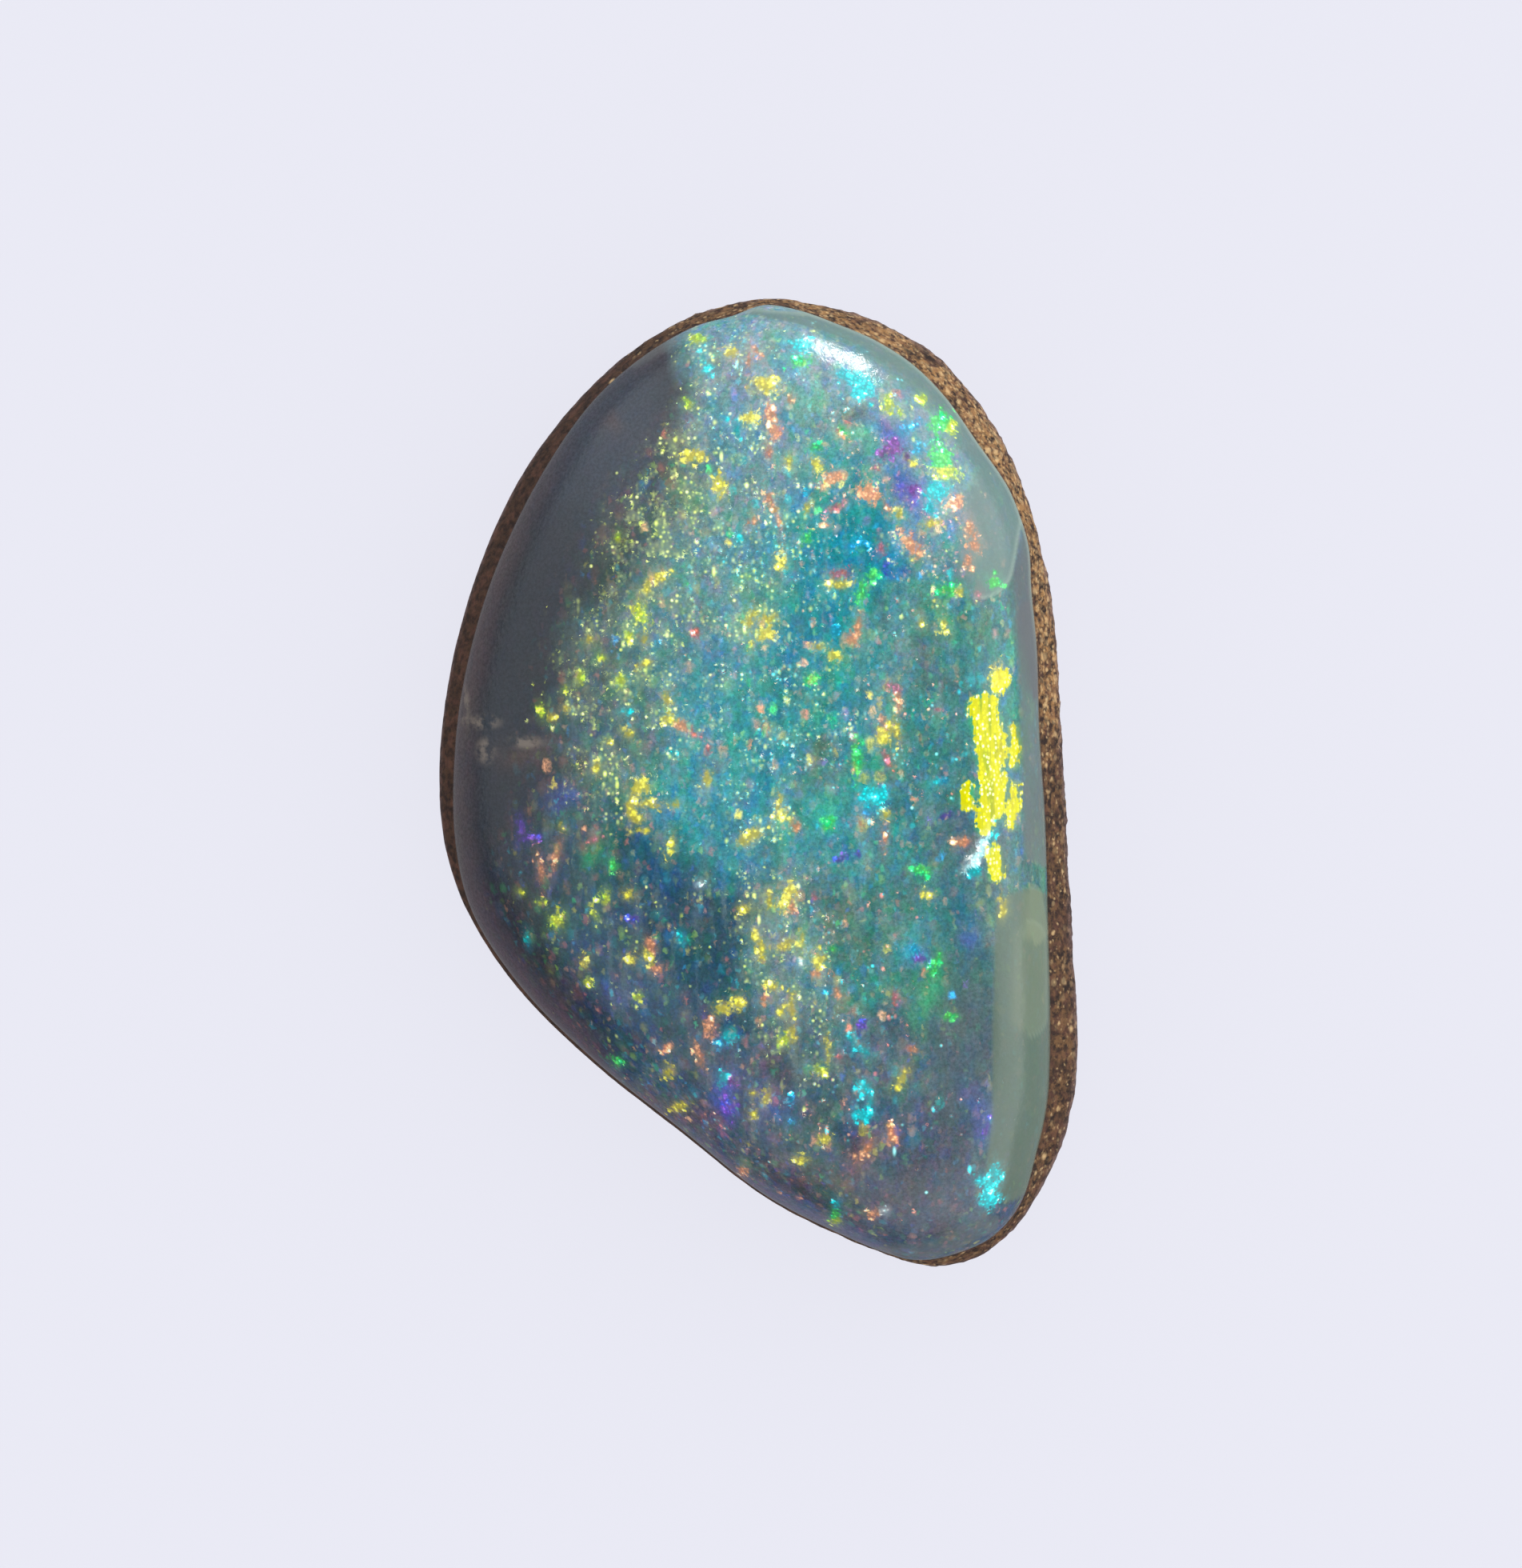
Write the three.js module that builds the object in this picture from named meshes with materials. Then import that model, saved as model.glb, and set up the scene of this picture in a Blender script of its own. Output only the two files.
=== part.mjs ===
// A boulder opal cabochon: one stone, a polished dome of precious opal grown on brown ironstone.
// Millimetres, +Z up. The stone lies on its flat back, and the origin is under the middle of its box.
// +Y points to the broad round end, and -Y to the narrow tip.
import * as THREE from "three";

// Driving dimensions. The outlines below give the length of 18 mm and the width of 11.9 mm.
const HEIGHT = 4.4;
const BACK_INSET = 0.85; // how far the flat back stays inside the widest outline
const BACK_WAVER = 0.2; // the share of the inset by which the edge of the back wanders
const FLANK_BULGE = 1.6; // above 1, the broken flank stays steep before it leans in to the opal
const LUMP_DEPTH = 0.045;
const OPAL_LIP = 0.04; // the small step where the polished opal stands above the ironstone
const SEAM_CLEARANCE = 0.06; // the least width of ironstone that shows from above

// The crown is a very flat dome: its peak, seen from above, and its radii of curvature along X and Y
const CROWN_PEAK = new THREE.Vector2(0.9, 0.4);
const CROWN_RADIUS = new THREE.Vector2(42, 75);

// The point that both outlines are seen from, well inside them
const HEART = new THREE.Vector2(0.4, 0.2);

// The widest outline, which is the edge of the ironstone, clockwise from the broad end
const GIRDLE = [
  [0.1, 9.0], [1.35, 8.85], [2.5, 8.45], [3.4, 7.85], [4.0, 7.2], [4.6, 6.25], [5.0, 5.25],
  [5.3, 4.15], [5.5, 3.0], [5.6, 1.6], [5.7, -0.15], [5.8, -2.25], [5.9, -3.9], [5.95, -5.0],
  [5.85, -5.9], [5.65, -6.7], [5.25, -7.55], [4.75, -8.3], [4.1, -8.8], [3.35, -9.0],
  [2.45, -8.8], [1.35, -8.35], [0.1, -7.7], [-1.45, -6.5], [-3.1, -5.2], [-4.55, -3.75],
  [-5.45, -2.35], [-5.85, -1.15], [-5.95, 0.3], [-5.75, 2.05], [-5.25, 3.9], [-4.4, 5.75],
  [-3.25, 7.25], [-2.2, 8.15], [-1.2, 8.7],
];

// The foot of the opal, where it meets the ironstone, clockwise from the broad end
const SEAM = [
  [0.1, 8.85], [0.75, 8.75], [1.45, 8.5], [2.15, 8.2], [2.85, 7.75], [3.45, 7.15], [4.05, 6.3],
  [4.6, 5.5], [4.85, 4.9], [5.0, 4.35], [5.05, 3.55], [5.15, 2.5], [5.2, 0.9], [5.3, -0.6],
  [5.35, -2.25], [5.4, -4.5], [5.35, -5.9], [5.15, -6.85], [4.85, -7.8], [4.35, -8.4],
  [3.75, -8.7], [3.05, -8.85], [2.4, -8.75], [1.35, -8.3], [0.1, -7.65], [-1.45, -6.45],
  [-3.1, -5.15], [-4.5, -3.7], [-5.35, -2.35], [-5.65, -1.05], [-5.65, 0.6], [-5.45, 2.05],
  [-4.95, 3.8], [-4.1, 5.6], [-3.1, 7.05], [-2.15, 7.9], [-1.2, 8.45], [-0.5, 8.65],
];

// Values every 45 degrees, counter-clockwise from +X. The opal reaches lowest at the lower left.
const GIRDLE_HEIGHT = [1.4, 1.45, 1.4, 1.2, 1.05, 0.95, 1.15, 1.35];
const SEAM_HEIGHT = [2.7, 2.8, 2.7, 2.3, 1.85, 1.3, 1.9, 2.5];
const SHOULDER_WIDTH = [1.5, 1.9, 2.0, 2.9, 3.8, 3.0, 2.3, 1.7];

// The lumps of the broken ironstone are waves round the stone: how many there are of each, how far
// they lean with height, where they start, and how much each counts for
const LUMP_WAVES = [
  { count: 5, lean: 1.3, start: 0.7, weight: 0.3 },
  { count: 13, lean: -2.1, start: 2.2, weight: 0.3 },
  { count: 23, lean: 3.4, start: 4.1, weight: 0.25 },
  { count: 37, lean: -2.6, start: 1.1, weight: 0.15 },
];

// How finely the surface is divided
const AZIMUTHS = 120;
const BACK_RINGS = 3;
const BEVEL_RINGS = 5;
const FLANK_RINGS = 5;
const SHOULDER_RINGS = 9;
const CROWN_RINGS = 5;
const OUTLINE_SAMPLES = 1440;

const FULL_TURN = 2 * Math.PI;

// Azimuths wrap round into 0 up to a full turn
function wrapped(azimuth) {
  return THREE.MathUtils.euclideanModulo(azimuth, FULL_TURN);
}

// The radius of a closed outline about the heart, as a function of the azimuth
function radiusOf(points) {
  const corners = points.map(([x, y]) => new THREE.Vector3(x, y, 0));
  const curve = new THREE.CatmullRomCurve3(corners, true, "centripetal");
  const samples = curve
    .getPoints(OUTLINE_SAMPLES)
    .slice(0, -1)
    .map((point) => ({
      azimuth: wrapped(Math.atan2(point.y - HEART.y, point.x - HEART.x)),
      radius: Math.hypot(point.x - HEART.x, point.y - HEART.y),
    }))
    .sort((a, b) => a.azimuth - b.azimuth);
  const first = samples[0];
  const last = samples[samples.length - 1];
  const table = [
    { azimuth: last.azimuth - FULL_TURN, radius: last.radius },
    ...samples,
    { azimuth: first.azimuth + FULL_TURN, radius: first.radius },
  ];
  return (azimuth) => {
    const next = table.findIndex((sample) => sample.azimuth > wrapped(azimuth));
    const before = table[next - 1];
    const after = table[next];
    const share = (wrapped(azimuth) - before.azimuth) / (after.azimuth - before.azimuth);
    return THREE.MathUtils.lerp(before.radius, after.radius, share);
  };
}

// A smooth function of the azimuth through values that are evenly spaced round the stone
function around(values) {
  return (azimuth) => {
    const place = (wrapped(azimuth) / FULL_TURN) * values.length;
    const index = Math.floor(place);
    const valueAt = (step) => values[(index + step + values.length) % values.length];
    const slopeIn = (valueAt(1) - valueAt(-1)) / 2;
    const slopeOut = (valueAt(2) - valueAt(0)) / 2;
    const rise = valueAt(1) - valueAt(0);
    const t = place - index;
    const bend = 3 * rise - 2 * slopeIn - slopeOut;
    const twist = slopeIn + slopeOut - 2 * rise;
    return valueAt(0) + slopeIn * t + bend * t ** 2 + twist * t ** 3;
  };
}

const girdleRadius = radiusOf(GIRDLE);
const openSeamRadius = radiusOf(SEAM);
const girdleHeight = around(GIRDLE_HEIGHT);
const seamHeight = around(SEAM_HEIGHT);
const shoulderWidth = around(SHOULDER_WIDTH);

// The seam never reaches past the girdle, so that the flank leans in all round
function seamRadius(azimuth) {
  return Math.min(openSeamRadius(azimuth), girdleRadius(azimuth) - SEAM_CLEARANCE);
}

// The lumps of the ironstone, from -1 on the crests to 1 in the pits
function lumps(azimuth, height) {
  let sum = 0;
  for (const wave of LUMP_WAVES) {
    sum += wave.weight * Math.sin(wave.count * azimuth + wave.lean * height + wave.start);
  }
  return sum;
}

// How far a pit sinks in: nothing on the crests, so that the lumps stay inside the girdle
function pitDepth(azimuth, height) {
  return LUMP_DEPTH * (0.5 + 0.5 * lumps(azimuth, height));
}

// The height of the polished face at a point, before its shoulder turns down to the seam
function crownHeight(x, y) {
  const dropX = (x - CROWN_PEAK.x) ** 2 / (2 * CROWN_RADIUS.x);
  const dropY = (y - CROWN_PEAK.y) ** 2 / (2 * CROWN_RADIUS.y);
  return HEIGHT - dropX - dropY;
}

function pointAt(azimuth, radius, height) {
  return new THREE.Vector3(
    HEART.x + radius * Math.cos(azimuth),
    HEART.y + radius * Math.sin(azimuth),
    height,
  );
}

// The flat back, out to its edge
function backProfile(azimuth) {
  const edge = girdleRadius(azimuth) - BACK_INSET * (1 + BACK_WAVER * lumps(azimuth, 0));
  const points = [];
  for (let ring = 1; ring <= BACK_RINGS; ring++) {
    points.push({ radius: (edge * ring) / BACK_RINGS, height: 0 });
  }
  return points;
}

// The rounded edge from the back up to the girdle
function bevelProfile(azimuth, edge) {
  const points = [];
  for (let ring = 1; ring <= BEVEL_RINGS; ring++) {
    const turn = (Math.PI / 2) * (ring / BEVEL_RINGS);
    const height = girdleHeight(azimuth) * (1 - Math.cos(turn));
    const radius = THREE.MathUtils.lerp(edge, girdleRadius(azimuth), Math.sin(turn));
    points.push({ radius: radius - pitDepth(azimuth, height) * Math.sin(2 * turn), height });
  }
  return points;
}

// The broken ironstone flank from the girdle up to the seam
function flankProfile(azimuth) {
  const points = [];
  for (let ring = 1; ring <= FLANK_RINGS; ring++) {
    const share = ring / FLANK_RINGS;
    const height = THREE.MathUtils.lerp(girdleHeight(azimuth), seamHeight(azimuth), share);
    const radius = THREE.MathUtils.lerp(girdleRadius(azimuth), seamRadius(azimuth), share ** FLANK_BULGE);
    points.push({ radius: radius - pitDepth(azimuth, height) * Math.sin(Math.PI * share), height });
  }
  return points;
}

// The polished opal: its foot just above the seam, its rounded shoulder and its crown
function opalProfile(azimuth) {
  const seam = seamRadius(azimuth);
  const foot = seamHeight(azimuth) + OPAL_LIP;
  const width = shoulderWidth(azimuth);
  const radii = [];
  for (let ring = 0; ring <= SHOULDER_RINGS; ring++) {
    const turn = (Math.PI / 2) * (ring / SHOULDER_RINGS);
    radii.push(seam - width * (1 - Math.cos(turn)));
  }
  for (let ring = 1; ring < CROWN_RINGS; ring++) {
    radii.push((seam - width) * (1 - ring / CROWN_RINGS));
  }
  return radii.map((radius) => {
    const { x, y } = pointAt(azimuth, radius, 0);
    const reach = Math.min(1, (seam - radius) / width);
    const rise = Math.sqrt(1 - (1 - reach) ** 2);
    return { radius, height: THREE.MathUtils.lerp(foot, crownHeight(x, y), rise) };
  });
}

// The whole section at one azimuth, from near the middle of the back to near the crown's middle
function stoneProfile(azimuth) {
  const back = backProfile(azimuth);
  const edge = back[back.length - 1].radius;
  const ironstone = [...back, ...bevelProfile(azimuth, edge), ...flankProfile(azimuth)];
  const profile = [...ironstone, ...opalProfile(azimuth)];
  return profile.map(({ radius, height }) => pointAt(azimuth, radius, height));
}

// One closed surface: a fan on the back, bands between the rings of the sections, and a fan on the crown
function stoneGeometry() {
  const profiles = [];
  for (let i = 0; i < AZIMUTHS; i++) {
    profiles.push(stoneProfile((FULL_TURN * i) / AZIMUTHS));
  }
  const rings = profiles[0].length;
  const points = [new THREE.Vector3(HEART.x, HEART.y, 0)];
  for (let ring = 0; ring < rings; ring++) {
    points.push(...profiles.map((profile) => profile[ring]));
  }
  points.push(new THREE.Vector3(HEART.x, HEART.y, crownHeight(HEART.x, HEART.y)));

  const middleOfBack = 0;
  const middleOfCrown = points.length - 1;
  const vertex = (ring, i) => 1 + ring * AZIMUTHS + (i % AZIMUTHS);
  const faces = [];
  for (let i = 0; i < AZIMUTHS; i++) {
    faces.push(middleOfBack, vertex(0, i + 1), vertex(0, i));
    faces.push(middleOfCrown, vertex(rings - 1, i), vertex(rings - 1, i + 1));
    for (let ring = 0; ring + 1 < rings; ring++) {
      faces.push(vertex(ring, i), vertex(ring, i + 1), vertex(ring + 1, i + 1));
      faces.push(vertex(ring, i), vertex(ring + 1, i + 1), vertex(ring + 1, i));
    }
  }

  const geometry = new THREE.BufferGeometry().setFromPoints(points);
  geometry.setIndex(faces);
  geometry.computeVertexNormals();
  return geometry;
}

// Puts the origin under the middle of the stone's box, on the plane that it rests on
function centredOnBase(geometry) {
  geometry.computeBoundingBox();
  const { min, max } = geometry.boundingBox;
  return geometry.translate(-(min.x + max.x) / 2, -(min.y + max.y) / 2, -min.z);
}

// The opal's mean colour, because the opal covers nearly all that shows from above
const opal = new THREE.MeshStandardMaterial({ color: 0x5c8a8c, roughness: 0.1, metalness: 0 });

const stone = new THREE.Mesh(centredOnBase(stoneGeometry()), opal);
stone.name = "opal_cabochon";

const cabochon = new THREE.Group();
cabochon.add(stone);

export default cabochon;
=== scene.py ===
# A boulder opal cabochon, lying on pale paper and seen from straight above.
# Its form is worked out in millimetres, from the same dimensions as the CAD part, and built in metres.
import math

import bpy
import numpy as np
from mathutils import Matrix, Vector, noise


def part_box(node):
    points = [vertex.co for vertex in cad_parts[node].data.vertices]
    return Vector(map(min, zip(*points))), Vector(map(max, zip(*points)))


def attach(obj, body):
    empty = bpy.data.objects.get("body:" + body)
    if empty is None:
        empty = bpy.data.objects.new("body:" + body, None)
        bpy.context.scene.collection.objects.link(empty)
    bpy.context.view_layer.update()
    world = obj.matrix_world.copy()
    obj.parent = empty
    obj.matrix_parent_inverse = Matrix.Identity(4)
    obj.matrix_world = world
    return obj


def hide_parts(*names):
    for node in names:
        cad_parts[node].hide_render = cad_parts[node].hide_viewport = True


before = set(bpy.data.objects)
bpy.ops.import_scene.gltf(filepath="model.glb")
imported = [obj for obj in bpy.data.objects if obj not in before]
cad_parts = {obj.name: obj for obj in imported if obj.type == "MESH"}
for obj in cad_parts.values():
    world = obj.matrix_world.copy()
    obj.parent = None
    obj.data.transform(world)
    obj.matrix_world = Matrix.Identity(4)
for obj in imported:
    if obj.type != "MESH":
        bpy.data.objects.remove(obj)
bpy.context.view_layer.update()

MM = 0.001
FULL_TURN = 2 * math.pi
NODE = "opal_cabochon"

# Driving dimensions of the stone, in millimetres
HEIGHT = 4.4
BACK_INSET = 0.85
BACK_WAVER = 0.2
FLANK_BULGE = 1.6
OPAL_LIP = 0.04
SEAM_CLEARANCE = 0.06
CROWN_PEAK = (0.9, 0.4)
CROWN_RADIUS = (42, 75)
HEART = (0.4, 0.2)

# The widest outline, which is the edge of the ironstone, clockwise from the broad end
GIRDLE = [
    (0.1, 9.0), (1.35, 8.85), (2.5, 8.45), (3.4, 7.85), (4.0, 7.2), (4.6, 6.25), (5.0, 5.25),
    (5.3, 4.15), (5.5, 3.0), (5.6, 1.6), (5.7, -0.15), (5.8, -2.25), (5.9, -3.9), (5.95, -5.0),
    (5.85, -5.9), (5.65, -6.7), (5.25, -7.55), (4.75, -8.3), (4.1, -8.8), (3.35, -9.0),
    (2.45, -8.8), (1.35, -8.35), (0.1, -7.7), (-1.45, -6.5), (-3.1, -5.2), (-4.55, -3.75),
    (-5.45, -2.35), (-5.85, -1.15), (-5.95, 0.3), (-5.75, 2.05), (-5.25, 3.9), (-4.4, 5.75),
    (-3.25, 7.25), (-2.2, 8.15), (-1.2, 8.7),
]

# The foot of the opal, where it meets the ironstone, clockwise from the broad end
SEAM = [
    (0.1, 8.85), (0.75, 8.75), (1.45, 8.5), (2.15, 8.2), (2.85, 7.75), (3.45, 7.15), (4.05, 6.3),
    (4.6, 5.5), (4.85, 4.9), (5.0, 4.35), (5.05, 3.55), (5.15, 2.5), (5.2, 0.9), (5.3, -0.6),
    (5.35, -2.25), (5.4, -4.5), (5.35, -5.9), (5.15, -6.85), (4.85, -7.8), (4.35, -8.4),
    (3.75, -8.7), (3.05, -8.85), (2.4, -8.75), (1.35, -8.3), (0.1, -7.65), (-1.45, -6.45),
    (-3.1, -5.15), (-4.5, -3.7), (-5.35, -2.35), (-5.65, -1.05), (-5.65, 0.6), (-5.45, 2.05),
    (-4.95, 3.8), (-4.1, 5.6), (-3.1, 7.05), (-2.15, 7.9), (-1.2, 8.45), (-0.5, 8.65),
]

# Values every 45 degrees, counter-clockwise from +X. The opal reaches lowest at the lower left.
GIRDLE_HEIGHT = [1.4, 1.45, 1.4, 1.2, 1.05, 0.95, 1.15, 1.35]
SEAM_HEIGHT = [2.7, 2.8, 2.7, 2.3, 1.85, 1.3, 1.9, 2.5]
SHOULDER_WIDTH = [1.5, 1.9, 2.0, 2.9, 3.8, 3.0, 2.3, 1.7]

# Waves of the broken ironstone: their count round the stone, lean with height, start and weight
LUMP_WAVES = [(5, 1.3, 0.7, 0.3), (13, -2.1, 2.2, 0.3), (23, 3.4, 4.1, 0.25), (37, -2.6, 1.1, 0.15)]

# How finely the surface is divided. The number of points round a ring halves as the rings close in.
AZIMUTHS = 720
HALVINGS = 4
BACK_RINGS = 20
BEVEL_RINGS = 20
FLANK_RINGS = 16
OPAL_RINGS = 115
OPAL_CROWDING = 1.5  # above 1, the opal's rings crowd towards the steep foot
CURVE_STEPS = 40

# The sandy surface of the ironstone, finer than the lumps
CHUNK_SIZE = 0.7
CHUNK_DEPTH = 0.06
GRAIN_SIZE = 0.2
GRAIN_DEPTH = 0.05
SAND_LEVEL = 0.4  # sand higher than this sinks in, and the rest stands out
ROUGH_AZIMUTH = math.radians(15)
WARM_AZIMUTH = math.radians(50)
WARMTH_RIGHT = 0.27
BACK_PIT_SIZE = 0.6
BACK_PIT_DEPTH = 0.05

# Grains and pits in the ironstone: how many in a millimetre, their radius in cells and their strength
SAND_LAYERS = ((5.5, 0.55, 0.6), (9.0, 0.6, 0.55), (15.0, 0.65, 0.45))

# Colours as they look on screen, from 0 to 255
COLOURS = {
    "slate": (46, 51, 59),
    "slate blue": (66, 73, 84),
    "umber": (82, 74, 77),
    "plum": (76, 62, 76),
    "dusk": (98, 98, 122),
    "blue slate": (46, 80, 94),
    "violet grey": (78, 90, 102),
    "grape": (104, 88, 178),
    "fibre": (176, 196, 184),
    "steel": (84, 102, 108),
    "aqua": (118, 158, 162),
    "teal": (68, 148, 154),
    "deep teal": (8, 138, 142),
    "sea green": (70, 132, 122),
    "sage": (136, 160, 132),
    "dull green": (98, 124, 114),
    "olive": (92, 104, 76),
    "rust": (112, 82, 68),
    "milk": (110, 133, 128),
    "fog": (103, 106, 110),
    "mist": (112, 120, 118),
    # The colour of the painted glint on the opal's edge
    "painted_glint": (186, 206, 188),
    "haze": (124, 150, 148),
    "moss": (97, 114, 99),
    "gold": (250, 238, 58),
    "pale gold": (232, 246, 130),
    "gold dust": (206, 224, 66),
    "honey": (238, 222, 92),
    "orchid": (196, 100, 210),
    "lime": (190, 245, 50),
    "lemon": (248, 245, 0),
    "leaf": (176, 204, 16),
    "gilt": (212, 200, 40),
    "green": (20, 225, 120),
    "cyan": (0, 235, 250),
    "pale cyan": (150, 250, 245),
    "turquoise": (0, 190, 180),
    "sky": (50, 180, 250),
    "blue": (60, 80, 230),
    "violet": (172, 88, 205),
    "pink": (235, 150, 200),
    "peach": (255, 182, 130),
    "salmon": (252, 150, 100),
    "spring": (120, 240, 70),
    "coral": (250, 125, 105),
    "ice": (245, 255, 250),
    "straw": (150, 160, 128),
    "chalk": (128, 118, 108),
    "dark brown": (38, 24, 19),
    "brown": (70, 47, 31),
    "ochre": (158, 116, 68),
    "mauve": (124, 104, 106),
    "russet": (104, 66, 50),
    "sand": (236, 198, 140),
    "pit": (22, 15, 12),
}

# Each flash shades from its own colour into another
PARTNERS = {
    "cyan": "turquoise",
    "sky": "cyan",
    "blue": "violet",
    "violet": "orchid",
    "green": "spring",
    "lime": "gold",
    "gold": "honey",
    "peach": "salmon",
    "coral": "pink",
    "ice": "cyan",
}

# How brightly the flashes of a colour shine, where it isn't 1
FLASH_LEVELS = {"blue": 0.8, "sky": 0.7, "violet": 0.55, "coral": 0.8, "ice": 2.0}

# Hazy patches in the opal, by how many are in a millimetre: how much red, green and blue they let by
MOTTLES = {
    0.9: ((0.8, 0.9, 1.05), (0.75, 1.1, 0.85), (1.25, 0.97, 0.9)),
    2.2: ((0.74, 0.8, 0.82), (1.28, 1.22, 1.12), (0.72, 0.98, 1.08)),
    5.0: ((1.22, 0.9, 1.18), (0.72, 1.1, 0.92), (0.7, 0.92, 1.2)),
    10.0: ((1.22, 1.18, 1.15), (1.2, 0.92, 0.95), (0.8, 0.94, 1.06)),
}

# Pinfire dots: how many in a millimetre, how many more of them than the zones say, their radius in cells,
# and how much narrower they are than long
DOT_LAYERS = ((11.0, 2.2, 0.65, 1.0), (7.0, 1.7, 0.62, 1.2), (4.5, 0.6, 0.5, 1.6))

# Dim flecks of every hue: how many in a millimetre, and their strength
FLECK_LAYERS = ((3.0, 0.1), (5.0, 0.18), (9.0, 0.24))
FLECK_SHARE = 0.4
FLECK_HUES = ("coral", "peach", "gold", "lime", "green", "cyan", "sky", "blue", "coral", "peach")

# Flakes of crystal, where the rose pinfire is: how many in a millimetre, their radius in cells and strength
FLAKE_LAYERS = ((3.2, 0.45, 0.3), (5.0, 0.5, 0.42))
FLAKE_SHARE = 2.0
FLAKE_HUES = ("peach", "gold", "coral", "green", "peach", "gold", "turquoise", "sky", "peach", "grape")

# The opal's body colour: soft zones of each colour as (x, y, reach in x, reach in y)
BODY_ZONES = {
    "haze": [(-0.5, 3.4, 0.9, 1.0), (-0.6, 5.4, 0.8, 0.9), (0.6, -2.9, 0.6, 1.0)],
    "aqua": [(-0.6, 7.3, 1.4, 1.3), (1.6, 7.0, 1.6, 1.1), (0.3, 8.6, 1.6, 0.4), (3.4, 6.2, 1.0, 1.4)],
    "sage": [(-1.8, 5.5, 1.0, 1.3)],
    "dull green": [(-2.5, 2.9, 0.8, 1.6), (-2.9, 0.6, 0.9, 0.9)],
    "teal": [(-0.5, 4.4, 1.2, 1.6), (0.2, 1.2, 1.6, 1.4), (-0.6, -0.4, 1.3, 1.0), (1.4, -0.8, 1.0, 1.0)],
    "deep teal": [(1.3, 4.4, 1.0, 1.0), (0.9, 3.2, 0.7, 0.8), (1.0, 1.4, 0.7, 0.6)],
    "sea green": [(3.2, 2.6, 1.0, 1.0), (2.6, -2.2, 1.4, 1.6), (1.3, -2.9, 0.8, 1.2), (3.2, 0.6, 1.0, 1.2)],
    "steel": [(3.9, -5.0, 0.9, 1.8), (3.5, -1.0, 0.8, 0.9), (2.2, -5.0, 1.0, 1.0)],
    "blue slate": [
        (-3.0, -2.3, 1.0, 1.2), (-1.7, -4.2, 1.2, 1.0), (-0.8, -2.6, 1.0, 1.0), (-2.6, -1.2, 1.0, 0.7),
    ],
    "violet grey": [
        (0.2, -6.8, 1.4, 0.9), (2.5, -7.5, 1.4, 0.9), (-0.8, -5.5, 1.0, 0.7), (4.0, -7.4, 0.8, 0.8),
    ],
}

# The dark side of the dome, painted shade where the left slope turns from the light and the opal's dark body
# shows without play of colour: the place of its right-hand border at each height, as (x, y) from the top
DARK_BORDER = [
    (-1.55, 8.6), (-1.45, 8.0), (-1.4, 7.1), (-1.8, 6.4), (-2.3, 5.6), (-2.85, 4.9), (-3.1, 4.1),
    (-3.5, 3.0), (-3.8, 2.0), (-4.05, 1.0), (-4.05, 0.0), (-4.5, -1.0), (-4.7, -2.0), (-4.3, -3.1),
    (-3.6, -4.0), (-3.1, -4.8), (-2.6, -5.6), (-1.7, -6.35), (-0.5, -7.1), (0.7, -7.8), (2.2, -8.5),
]
DARK_SOFTNESS = ((-8, 0.5), (-4, 0.7), (0, 0.8), (6, 0.7), (7.5, 0.25))
DARK_OVERLAP = 0.75  # how far the dark base reaches under the dots of colour

# The hue of the dark side's edge at each height, and how far in from the seam it reaches
BRINKS = ((-8, "dusk"), (-5, "plum"), (-1, "umber"))
BRINK_WIDTH = 0.65

# How the painted patches are shifted: turns in a millimetre, and how far in millimetres
STIRS = ((0.9, 0.45), (2.6, 0.16))
STIR_SEED = 7

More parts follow.
